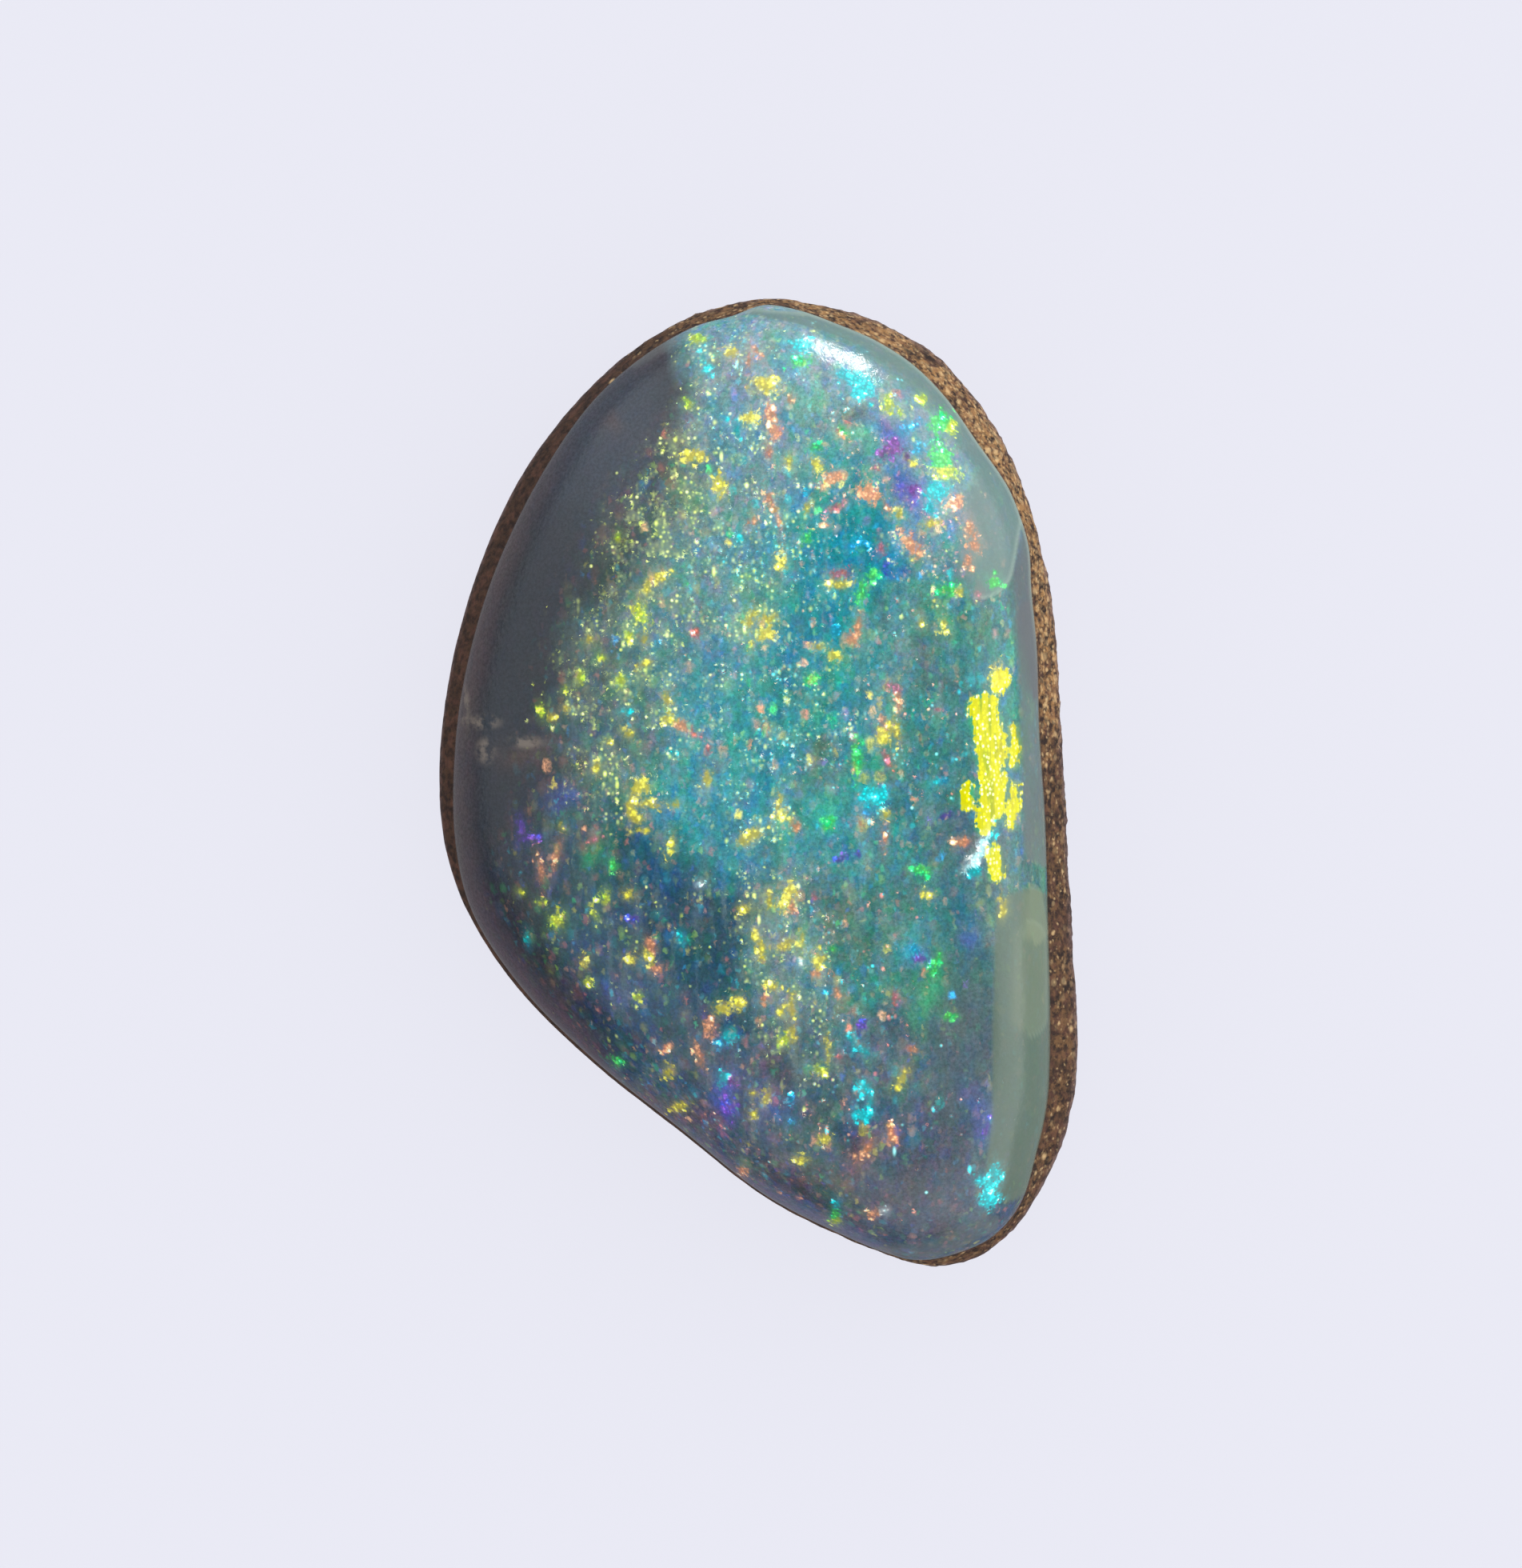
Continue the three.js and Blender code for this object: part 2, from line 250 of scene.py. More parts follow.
# Soft glows in the body: colour, x, y, width, height and strength
GLOWS = [
    ("slate blue", -2.5, 6.3, 2.6, 3.6, 0.9),
    ("grape", 2.8, 5.35, 0.9, 0.9, 0.75),
    ("grape", 2.45, 6.2, 0.8, 0.7, 0.6),
    ("teal", 2.6, 2.7, 1.2, 1.2, 0.5),
    ("aqua", 2.5, 2.6, 1.4, 1.6, 0.35),
    ("green", 3.15, -4.0, 0.5, 1.1, 0.2),
    ("green", 1.15, -0.5, 0.8, 0.9, 0.25),
    ("green", -2.8, -1.2, 0.5, 0.6, 0.15),
    ("olive", 1.1, 0.35, 0.9, 0.8, 0.7),
    ("olive", 1.5, -2.8, 0.9, 1.2, 0.5),
    ("olive", 3.2, 2.2, 0.9, 0.7, 0.4),
    ("deep teal", 2.1, 2.3, 0.7, 0.5, 0.7),
    ("deep teal", 0.1, 0.3, 0.8, 1.2, 0.4),
    ("deep teal", 1.1, 4.85, 1.0, 0.9, 0.5),
    ("deep teal", 1.5, 4.1, 1.0, 0.7, 0.5),
    ("green", 1.1, 7.1, 0.9, 0.6, 0.22),
    ("green", 1.65, 6.2, 0.8, 0.5, 0.3),
    ("green", 4.3, 3.7, 0.5, 0.4, 0.3),
    ("steel", 1.95, 6.65, 0.6, 0.5, 0.7),
    ("sky", 2.3, 4.3, 0.5, 0.5, 0.3),
    ("blue", 2.66, 3.9, 0.4, 0.3, 0.3),
    ("blue", 0.8, 5.3, 0.4, 0.4, 0.25),
    ("olive", 4.05, 3.0, 0.5, 0.7, 0.5),
    ("blue slate", -3.0, 1.2, 1.6, 1.6, 0.35),
    ("sky", 2.9, -3.1, 0.5, 0.5, 0.3),
    ("blue", -0.6, -5.9, 0.6, 0.9, 0.25),
    ("blue", -2.4, -3.9, 0.9, 0.7, 0.15),
    ("blue", 0.5, -5.9, 0.7, 0.6, 0.15),
    ("deep teal", 0.4, 2.4, 0.9, 1.2, 0.4),
    ("deep teal", -0.4, 6.3, 0.7, 0.6, 0.3),
    ("blue", -3.7, -0.2, 0.6, 0.5, 0.25),
    ("blue", 4.0, -6.3, 0.4, 1.2, 0.2),
    ("blue", 4.0, -2.9, 0.4, 0.7, 0.25),
    ("rust", -4.2, 0.6, 1.1, 0.5, 0.4),
    ("rust", -3.3, 0.2, 0.9, 0.7, 0.35),
    ("rust", 1.9, -6.8, 0.9, 0.6, 0.4),
    ("rust", -2.6, 6.4, 0.4, 0.4, 0.25),
    ("plum", -3.4, -3.7, 0.9, 0.6, 0.5),
    ("plum", 3.2, -8.3, 1.2, 0.4, 0.5),
    ("rust", 1.0, -7.3, 1.4, 0.7, 0.35),
    ("rust", 2.7, -7.6, 0.9, 0.6, 0.3),
    ("rust", -0.9, -6.2, 1.0, 0.5, 0.35),
    ("rust", 0.4, -5.3, 0.7, 0.5, 0.3),
]

# Pale places on the steep sides, painted reflections of a bright light laid on as milky opal: colour,
# strength, softness on the side towards the middle, paleness of the outer edge (a painted glint), and a path
# of (x, y, radius) that runs clockwise round the stone
MILK_AND_REFLECTIONS = [
    ("mist", 0.75, 0.12, 0, [(5.0, 3.1, 0.3), (5.1, 1.2, 0.32), (5.2, -1.2, 0.36)]),
    ("fog", 0.85, 0.35, 0, [(4.95, 4.8, 0.3), (4.9, 3.9, 0.45), (4.95, 2.9, 0.4), (5.05, 1.8, 0.25)]),
    ("moss", 0.85, 0.05, 0, [(4.95, -2.55, 0.6), (4.95, -4.5, 0.65), (4.9, -6.2, 0.6), (4.6, -7.3, 0.45)]),
    ("straw", 0.4, 0.3, 0, [(5.0, -2.1, 0.25), (5.05, -2.7, 0.3)]),
    ("straw", 0.2, 0.25, 0.08, [(4.95, -2.9, 0.38), (4.95, -4.3, 0.4)]),
    ("mist", 0.4, 0.2, 0, [(4.2, -8.1, 0.25), (3.2, -8.6, 0.2), (2.3, -8.6, 0.12)]),
    ("mist", 0.35, 0.1, 0, [(-2.3, 7.75, 0.1), (-1.3, 8.3, 0.12)]),
    ("milk", 0.2, 0.5, 0, [
        (0.9, 8.0, 0.3), (1.9, 7.5, 0.5), (2.8, 6.8, 0.7), (3.6, 5.9, 0.7), (3.8, 5.0, 0.5),
    ]),
    ("milk", 0.85, 0.5, 0.35, [
        (-0.1, 8.65, 0.12), (0.9, 8.45, 0.25), (1.9, 8.1, 0.35), (2.8, 7.5, 0.42), (3.6, 6.7, 0.42),
        (4.15, 5.85, 0.45), (4.25, 5.2, 0.68), (4.15, 4.62, 0.66), (4.05, 4.05, 0.66),
    ]),
]
REFLECTION_EDGE = 0.03
REFLECTION_RIM = 0.1

# The painted glint along the opal's edge at the upper right: its width, and its strength at the azimuth where
# it is palest
GLINT_WIDTH = 0.09
GLINT_STRENGTH = 0.5
GLINT_AZIMUTH = math.radians(62)

# Bright flashes of crystal in the opal, by colour: x, y, width, height and any turn in degrees
FLASHES = {
    "cyan": [
        (4.28, -1.0, 0.12, 0.4, -31), (3.96, -1.64, 0.2, 0.18, -31), (1.92, 7.24, 0.44, 0.42),
        (1.84, 7.46, 0.38, 0.3, -20), (1.6, 7.5, 0.36, 0.2, -20), (0.8, 8.06, 0.4, 0.26),
        (-0.95, 7.65, 0.2, 0.24), (-1.04, 7.87, 0.1, 0.3), (3.29, 5.4, 0.36, 0.3),
        (3.15, 5.06, 0.18, 0.32, 40), (-0.58, 6.72, 0.12, 0.14), (-0.4, 6.5, 0.12, 0.22, 20),
        (0.49, 3.88, 0.12, 0.12), (-0.36, 4.52, 0.1, 0.22, 10), (2.0, -0.22, 0.26, 0.34),
        (2.23, -0.25, 0.28, 0.32), (3.26, 0.0, 0.15, 0.13), (1.72, -4.72, 0.12, 0.26, 25),
        (1.9, -4.94, 0.3, 0.1, -15), (1.92, -5.62, 0.2, 0.22), (2.05, -5.85, 0.1, 0.36),
        (1.92, -6.12, 0.36, 0.24), (-0.65, -5.44, 0.16, 0.18), (-0.52, -4.66, 0.24, 0.18),
        (4.1, -7.33, 0.18, 0.18), (4.38, -7.22, 0.2, 0.34), (4.28, -7.7, 0.38, 0.26, 25),
        (4.26, -7.48, 0.3, 0.3), (-4.27, -2.87, 0.07, 0.16, 10), (-1.43, -2.87, 0.12, 0.2),
        (-2.44, 1.32, 0.16, 0.1, 10), (-1.6, 0.58, 0.12, 0.1), (0.3, 0.85, 0.1, 0.1),
        (1.43, -7.8, 0.07, 0.12),
    ],
    "sky": [
        (2.84, 6.56, 0.44, 0.2, 30), (2.95, 6.17, 0.2, 0.22), (1.83, 4.4, 0.32, 0.14),
        (2.87, -3.06, 0.2, 0.18), (0.58, -5.83, 0.1, 0.12), (0.58, -6.23, 0.14, 0.12),
        (-0.7, -4.8, 0.14, 0.16), (1.2, -3.84, 0.14, 0.1), (0.85, 5.4, 0.16, 0.2), (-1.9, 2.6, 0.1, 0.12),
        (3.42, 0.02, 0.2, 0.12, 10), (1.4, 2.8, 0.18, 0.22),
    ],
    "blue": [
        (1.5, -1.4, 0.3, 0.12, 20), (1.78, -1.3, 0.16, 0.12), (-0.58, -5.95, 0.22, 0.42, 20),
        (-2.3, -2.5, 0.2, 0.15, 30), (-4.38, -0.85, 0.14, 0.34, 15), (-4.2, -1.0, 0.3, 0.1, 10),
        (3.44, -0.6, 0.26, 0.1, 15), (1.9, -4.45, 0.16, 0.22), (2.98, -3.25, 0.2, 0.14, 30),
        (4.2, -6.4, 0.08, 0.26, -10), (2.35, 4.0, 0.14, 0.2),
    ],
    "violet": [
        (2.46, 6.2, 0.28, 0.32), (2.28, 6.05, 0.16, 0.2), (2.85, 5.4, 0.16, 0.24), (-0.5, -5.5, 0.2, 0.12),
        (2.72, 6.0, 0.1, 0.12),
    ],
    "green": [
        (0.76, 7.78, 0.36, 0.2), (3.38, 6.65, 0.46, 0.34, 10), (3.36, 6.0, 0.42, 0.4),
        (3.48, 3.56, 0.36, 0.2), (1.89, 3.5, 0.18, 0.42), (1.06, 6.19, 0.26, 0.14), (2.1, 3.85, 0.2, 0.2),
        (1.83, 0.43, 0.18, 0.55), (1.28, -0.73, 0.22, 0.22), (3.26, -3.36, 0.14, 0.42, -20),
        (-2.7, -1.5, 0.16, 0.2), (-2.6, -5.15, 0.22, 0.16), (1.4, -8.0, 0.14, 0.22),
        (1.52, 6.5, 0.14, 0.12), (4.35, 3.7, 0.22, 0.22), (0.9, 4.5, 0.2, 0.2), (1.0, 1.9, 0.24, 0.2),
        (3.0, -1.6, 0.3, 0.2), (1.35, -3.05, 0.12, 0.1), (3.5, -4.3, 0.2, 0.14),
    ],
    "lime": [
        (3.54, 6.6, 0.24, 0.3), (3.46, 5.72, 0.5, 0.22), (2.99, 7.08, 0.2, 0.2, 30),
        (2.38, 7.0, 0.18, 0.28), (2.6, 6.85, 0.14, 0.14), (1.43, -8.1, 0.16, 0.14),
        (-3.75, -2.55, 0.22, 0.3), (-1.15, 8.2, 0.24, 0.2), (-1.3, 7.0, 0.16, 0.16),
        (-4.42, -2.0, 0.1, 0.09), (-4.03, -2.22, 0.1, 0.08), (-3.63, -2.55, 0.08, 0.22, -10),
        (-2.84, -2.1, 0.18, 0.22), (-3.03, -2.44, 0.1, 0.22, 15), (-3.14, -3.68, 0.15, 0.11),
        (-2.22, -3.94, 0.15, 0.13, 20), (-4.0, 1.3, 0.1, 0.2, 20), (-2.2, 3.15, 0.22, 0.34, 10),
        (-2.4, 2.7, 0.16, 0.26), (-2.55, 1.9, 0.16, 0.22), (-3.3, 1.95, 0.12, 0.18),
        (-3.55, 1.75, 0.1, 0.12), (-2.9, 2.3, 0.12, 0.14), (-2.6, 4.5, 0.12, 0.16),
        (0.45, -4.75, 0.2, 0.16), (1.15, -5.3, 0.2, 0.14),
    ],
    "gold": [
        (0.1, 7.36, 0.46, 0.26, -10), (-0.5, 7.94, 0.2, 0.18), (-0.16, 6.74, 0.24, 0.26, 30),
        (-1.2, 6.02, 0.4, 0.22), (-0.73, 5.46, 0.24, 0.36, 10), (-1.83, 3.79, 0.28, 0.2, 25),
        (-2.05, 3.6, 0.14, 0.3, -35), (1.06, 5.86, 0.26, 0.18, -30), (0.54, 5.9, 0.14, 0.22),
        (0.91, 5.1, 0.12, 0.24, -20), (2.57, 4.97, 0.12, 0.22), (3.17, 4.79, 0.34, 0.15, 10),
        (2.84, 5.89, 0.14, 0.14), (0.43, 4.06, 0.18, 0.3), (1.47, 3.66, 0.36, 0.15, 10),
        (3.69, 3.53, 0.16, 0.13), (-0.06, 3.13, 0.2, 0.14), (0.2, 3.03, 0.22, 0.16),
        (-0.18, 2.97, 0.16, 0.18), (0.16, 2.76, 0.32, 0.26, 10), (-0.13, 2.55, 0.1, 0.16),
        (1.09, 2.5, 0.22, 0.12, 10), (1.4, 2.34, 0.22, 0.18), (2.99, 2.96, 0.1, 0.2, 20),
        (3.41, 2.9, 0.12, 0.26, 15), (4.4, 1.98, 0.24, 0.34), (-1.68, 1.55, 0.14, 0.3),
        (-1.62, 1.18, 0.26, 0.16), (-0.97, 0.08, 0.16, 0.26, 15), (-1.54, -0.4, 0.14, 0.12),
        (-2.2, -0.08, 0.28, 0.24), (-2.34, -0.42, 0.18, 0.5), (-2.02, -0.38, 0.34, 0.16),
        (-2.26, -0.66, 0.22, 0.16), (-1.62, -1.16, 0.12, 0.28, -10), (-3.6, -0.83, 0.09, 0.09),
        (-2.08, -0.86, 0.1, 0.1), (-3.82, 1.22, 0.12, 0.14), (-3.56, 1.38, 0.1, 0.1),
        (-3.12, 2.66, 0.12, 0.12), (-2.1, 2.2, 0.22, 0.12, 25), (-2.1, 2.65, 0.1, 0.12),
        (2.27, 0.86, 0.24, 0.3), (2.55, 0.92, 0.12, 0.4), (2.42, 1.06, 0.16, 0.2, 35),
        (2.35, -0.58, 0.12, 0.12), (0.34, -0.45, 0.14, 0.42, -10), (0.44, -0.62, 0.2, 0.16),
        (-0.13, -0.95, 0.36, 0.18, 20), (-0.3, -1.1, 0.2, 0.12), (0.56, -1.98, 0.22, 0.3),
        (0.46, -2.22, 0.26, 0.2), (0.19, -2.17, 0.12, 0.3), (0.48, -3.0, 0.34, 0.15, 20),
        (0.8, -2.9, 0.08, 0.28), (1.1, -3.3, 0.18, 0.34), (-0.06, -2.8, 0.14, 0.24, 10),
        (0.05, -3.08, 0.14, 0.24, -10), (-0.25, -2.3, 0.2, 0.12), (0.25, -3.75, 0.14, 0.2),
        (0.62, -4.1, 0.12, 0.36), (0.4, -4.2, 0.14, 0.16), (-0.68, -4.16, 0.26, 0.18),
        (-0.36, -4.02, 0.26, 0.24), (0.62, -4.6, 0.12, 0.3, -10), (1.26, -4.92, 0.08, 0.28),
        (2.66, -5.42, 0.14, 0.3, -30), (1.2, -6.57, 0.2, 0.18), (0.76, -6.94, 0.22, 0.12),
        (-1.47, -5.98, 0.28, 0.16, 15), (-1.68, -5.35, 0.14, 0.18), (-0.1, -5.72, 0.12, 0.1),
        (0.14, -5.8, 0.12, 0.24, -15), (-0.1, -6.1, 0.16, 0.16), (-2.4, -2.06, 0.16, 0.18),
        (-2.36, -3.26, 0.22, 0.16), (-2.04, -3.24, 0.16, 0.3, 20), (-3.2, -3.3, 0.12, 0.16),
        (3.1, -2.04, 0.16, 0.1), (4.5, -2.3, 0.12, 0.26), (-2.75, 0.75, 0.12, 0.12),
        (-2.4, 0.9, 0.18, 0.14), (-3.0, 0.3, 0.12, 0.18),
    ],
    "peach": [
        (-0.06, 7.97, 0.1, 0.28, 35), (-0.2, 7.78, 0.08, 0.3, -10), (0.22, 6.85, 0.2, 0.26),
        (0.3, 6.5, 0.24, 0.26, 20), (0.18, 6.1, 0.12, 0.3), (0.57, 7.08, 0.1, 0.16),
        (1.35, 5.6, 0.36, 0.24, 25), (2.02, 5.34, 0.4, 0.34), (2.35, 5.1, 0.1, 0.26, 30),
        (2.8, 4.4, 0.22, 0.5, 25), (2.97, 4.22, 0.16, 0.2), (3.59, 5.16, 0.28, 0.26),
        (3.9, 4.7, 0.16, 0.3, 10), (3.97, 4.4, 0.16, 0.3), (3.86, 4.1, 0.12, 0.2),
        (0.19, 5.22, 0.14, 0.3, 25), (0.34, 4.95, 0.08, 0.32, 15), (1.82, 2.85, 0.14, 0.5, -8),
        (1.7, 2.65, 0.2, 0.2), (-0.1, 4.86, 0.1, 0.15), (1.5, 6.45, 0.12, 0.16, 30), (2.57, 1.5, 0.1, 0.34),
        (2.3, 1.1, 0.1, 0.26, 20), (0.7, -0.82, 0.14, 0.2, 25), (2.32, -0.98, 0.12, 0.34),
        (1.87, -0.76, 0.1, 0.24, 10), (0.62, -2.3, 0.14, 0.24), (1.08, -3.5, 0.14, 0.2),
        (0.1, -3.98, 0.12, 0.14), (1.46, -3.9, 0.08, 0.3, 15), (2.44, -6.48, 0.18, 0.34, 10),
        (-0.91, -4.5, 0.18, 0.26), (-1.1, -5.0, 0.12, 0.34, 20), (-1.7, -4.9, 0.14, 0.12),
        (-2.0, -2.98, 0.14, 0.22, 20), (-1.86, -3.42, 0.24, 0.18), (-1.42, 1.06, 0.26, 0.18, -15),
        (-0.3, -7.2, 0.14, 0.16), (2.1, -7.95, 0.2, 0.12, 20), (-4.03, -1.6, 0.09, 0.36, 10),
        (-3.74, -1.35, 0.09, 0.42, -15), (3.74, -1.1, 0.24, 0.18), (2.8, -4.9, 0.16, 0.1, -20),
        (1.25, 4.75, 0.16, 0.08), (2.0, -6.75, 0.12, 0.4, -40),
    ],
    "coral": [
        (1.43, 5.08, 0.34, 0.13, 25), (1.5, 3.86, 0.32, 0.16), (-1.15, 2.73, 0.14, 0.22, 30),
        (2.5, 1.76, 0.26, 0.14, -15), (2.25, 4.35, 0.12, 0.22), (2.36, 0.42, 0.08, 0.26, 25),
        (2.5, -3.93, 0.12, 0.2), (1.03, -2.1, 0.12, 0.14), (-3.03, -1.05, 0.2, 0.1, 20),
        (2.17, 5.8, 0.12, 0.14), (4.03, 3.45, 0.1, 0.16), (1.5, -5.05, 0.1, 0.1), (3.3, 1.35, 0.1, 0.08),
        (-1.2, 0.9, 0.14, 0.12), (-0.94, 0.62, 0.1, 0.22),
    ],
    "ice": [
        (4.16, -1.12, 0.17, 0.42, -31), (3.98, -1.42, 0.17, 0.36, -31), (-1.09, -1.85, 0.05, 0.05),
        (0.76, -3.29, 0.06, 0.07), (2.32, -7.9, 0.06, 0.05),
    ],
}

# The flashes above are as large as their solid middles, and their crumbly edges reach a little further
FLASH_SPREAD = 1.05

# The grain runs lengthwise. Its wobbles: how many in a millimetre, and how far in millimetres
GRAIN_STRETCH = (1.0, 0.72, 1.0)
WOBBLES = ((8.0, 0.16), (24.0, 0.04))

# How many lumps and finer grains a millimetre of a flash holds, and rows of dots one of the great flash
LUMPS_PER_MM = 6.5
GRAINS_PER_MM = 16.0
DOTS_PER_MM = 13.0
STRIATIONS = (9.0, 1.3, 2.0)

# Coloured light adds up in the opal, but no colour of a surface gets brighter than this
BRIGHTEST = 0.95

# Pale dust on the dark side, as (x, y, width, height)
DUST = [(-5.45, 1.4, 0.2, 0.8), (-5.1, 1.13, 0.7, 0.3), (-5.05, 0.6, 0.4, 0.5), (-4.3, 0.75, 0.7, 0.25)]

# The great yellow flash near the straight side: a path of (x, y, radius) for each of its streaks
SLAB = [
    [(4.45, 1.93, 0.1), (4.43, 1.8, 0.07)],
    [
        (4.28, 1.48, 0.08), (4.1, 1.36, 0.21), (4.23, 0.95, 0.23), (4.3, 0.6, 0.25), (4.28, 0.25, 0.17),
        (4.33, 0.0, 0.21), (4.3, -0.4, 0.19), (4.15, -0.8, 0.1),
    ],
    [(4.7, 1.0, 0.04), (4.74, 0.6, 0.06), (4.7, 0.35, 0.03)],
    [(4.7, -0.05, 0.02), (4.68, -0.45, 0.06), (4.64, -0.8, 0.03)],
    [(3.86, -0.1, 0.06), (3.83, -0.35, 0.09)],
    [(4.33, -1.25, 0.07), (4.38, -1.68, 0.09)],
]

# Pinfire, the dust of tiny crystals: soft zones of (x, y, reach in x, reach in y, density) by colour
PINFIRE = {
    "gold": [
        (-1.3, 7.4, 0.7, 1.0, 0.36), (-1.6, 5.8, 0.9, 1.0, 0.55), (-1.9, 4.6, 1.0, 1.0, 0.5),
        (-2.3, 3.2, 0.9, 1.1, 0.58), (-2.6, 1.8, 1.1, 1.0, 0.46), (-3.2, 2.2, 0.6, 1.2, 0.45),
        (-2.6, 0.4, 1.1, 0.8, 0.28),
        (-1.4, 2.0, 1.2, 2.0, 0.24), (-0.2, 6.0, 1.2, 1.6, 0.22), (0.0, 3.2, 1.2, 1.6, 0.22),
        (0.2, -2.4, 0.6, 1.4, 0.44), (0.6, -4.2, 0.5, 1.2, 0.46), (-0.4, 0.3, 1.0, 1.0, 0.16),
        (0.2, 8.2, 1.2, 0.5, 0.2), (2.6, 4.6, 1.2, 1.4, 0.1), (-2.2, -2.6, 1.4, 1.2, 0.06),
        (0.9, 1.4, 1.0, 1.0, 0.2),
    ],
    "cyan": [
        (-0.6, 6.8, 0.9, 1.2, 0.14), (0.2, 4.2, 1.2, 1.6, 0.16), (0.2, 1.4, 1.4, 1.4, 0.16),
        (1.2, 7.4, 1.4, 0.8, 0.12), (-0.4, -0.4, 1.2, 1.2, 0.1), (-1.8, 1.6, 1.0, 1.6, 0.06),
        (0.8, -3.6, 1.2, 1.6, 0.07), (2.4, 1.0, 1.4, 2.0, 0.05), (2.0, -6.2, 1.8, 1.0, 0.03),
    ],
    "rose": [
        (1.0, 5.4, 1.6, 1.4, 0.14), (3.0, 4.4, 1.2, 1.2, 0.14), (-0.4, 2.6, 1.6, 1.6, 0.12),
        (2.2, 0.8, 1.4, 1.4, 0.1), (0.8, -3.2, 1.2, 1.6, 0.06), (1.0, -6.4, 2.0, 1.0, 0.06),
        (-2.4, 0.2, 1.0, 0.8, 0.08), (2.6, -3.4, 1.4, 1.4, 0.04), (0.3, 0.9, 1.2, 1.0, 0.1),
    ],
}

# Foggy places with little play of colour, as (x, y, reach in x, reach in y, calm)
CALM = [(3.9, -4.8, 1.0, 2.4, 0.7), (3.2, -7.7, 1.8, 0.9, 0.55), (3.9, -1.6, 0.7, 0.8, 0.4)]

# The camera looks straight down, and the pale floor fills its view
CAMERA_OFFSET = (0.04, -0.02)
CAMERA_DISTANCE = 300
VIEW_HEIGHT = 29.16
VIEW_LEVEL = 1.4
SENSOR = 36
FLOOR_SIZE = 4000
FLOOR_COLOUR = (0.07, 0.069, 0.078, 1)
FLOOR_GLOW = (0.748, 0.75, 0.828, 1)
FLOOR_DROP = 0.01  # the floor lies this far under the back, so that the two never share a plane

# The soft light leans to the upper right. It fades between heights, as (from, to, strength at from, at to):
# overhead, where the crown mirrors it, and below the horizon, where only the steep sides mirror it.
WORLD_COLOUR = (0.97, 0.98, 1.0, 1)
WORLD_LEAN = (0.4, 0.2, 0)
WORLD_FADES = ((0.7, 0.97, 1.5, 0.2), (-0.1, 0.12, 0.15, 1.0))

# The lamp is where the crown mirrors it at this point
HIGHLIGHT = (1.75, 7.81)
LAMP_DISTANCE = 500
LAMP_SIZE = (12, 150)


def linear(colour):
    """A named screen colour as linear red, green and blue."""
    shares = np.array(COLOURS[colour]) / 255
    return np.where(shares <= 0.04045, shares / 12.92, ((shares + 0.055) / 1.055) ** 2.4)


def smooth(low, high, value):
    """Rises smoothly from 0 at low to 1 at high."""
    share = np.clip((value - low) / (high - low), 0, 1)
    return share * share * (3 - 2 * share)


def hermite(start, end, slope_in, slope_out, share):
    rise = end - start
    bend = 3 * rise - 2 * slope_in - slope_out
    twist = slope_in + slope_out - 2 * rise
    return start + slope_in * share + bend * share**2 + twist * share**3


def closed_curve(points):
    """A closed centripetal Catmull-Rom curve through these points."""
    points = np.array(points, float)
    shares = np.linspace(0, 1, CURVE_STEPS, endpoint=False)[:, None]
    stretches = []
    for i in range(len(points)):
        before, start, end, after = (points[(i + step) % len(points)] for step in (-1, 0, 1, 2))
        gap_in = np.linalg.norm(start - before) ** 0.5
        gap = np.linalg.norm(end - start) ** 0.5
        gap_out = np.linalg.norm(after - end) ** 0.5
        slope_in = (start - before) / gap_in - (end - before) / (gap_in + gap) + (end - start) / gap
        slope_out = (end - start) / gap - (after - start) / (gap + gap_out) + (after - end) / gap_out
        stretches.append(hermite(start, end, slope_in * gap, slope_out * gap, shares))
    return np.concatenate(stretches)


def radius_of(points):
    """The radius of a closed outline about the heart, as a function of the azimuth."""
    curve = closed_curve(points) - HEART
    azimuths = np.arctan2(curve[:, 1], curve[:, 0])
    radii = np.hypot(curve[:, 0], curve[:, 1])
    return lambda azimuth: np.interp(azimuth, azimuths, radii, period=FULL_TURN)


def around(values):
    """A smooth function of the azimuth through values that are evenly spaced round the stone."""
    values = np.array(values)

    def value_at(azimuth):
        place = (azimuth % FULL_TURN) / FULL_TURN * len(values)
        index = np.floor(place).astype(int)
        before, start, end, after = (values[(index + step) % len(values)] for step in (-1, 0, 1, 2))
        return hermite(start, end, (end - before) / 2, (after - start) / 2, place - index)

    return value_at


girdle_radius = radius_of(GIRDLE)
open_seam_radius = radius_of(SEAM)
girdle_height = around(GIRDLE_HEIGHT)
seam_height = around(SEAM_HEIGHT)
shoulder_width = around(SHOULDER_WIDTH)


def seam_radius(azimuth):
    return np.minimum(open_seam_radius(azimuth), girdle_radius(azimuth) - SEAM_CLEARANCE)


def azimuth_of(x, y):
    return np.arctan2(y - HEART[1], x - HEART[0])


def distance_of(x, y):
    return np.hypot(x - HEART[0], y - HEART[1])


def lumps(azimuth, height):
    total = 0
    for count, lean, start, weight in LUMP_WAVES:
        total = total + weight * np.sin(count * azimuth + lean * height + start)
    return total


def crown_height(x, y):
    drop_x = (x - CROWN_PEAK[0]) ** 2 / (2 * CROWN_RADIUS[0])
    drop_y = (y - CROWN_PEAK[1]) ** 2 / (2 * CROWN_RADIUS[1])
    return HEIGHT - drop_x - drop_y


def opal_height(x, y):
    """The height of the polished surface: the crown, and the shoulder that turns down to the seam."""
    azimuth = azimuth_of(x, y)
    inside = seam_radius(azimuth) - distance_of(x, y)
    reach = np.clip(inside / shoulder_width(azimuth), 0, 1)
    foot = seam_height(azimuth) + OPAL_LIP
    return foot + (crown_height(x, y) - foot) * np.sqrt(1 - (1 - reach) ** 2)


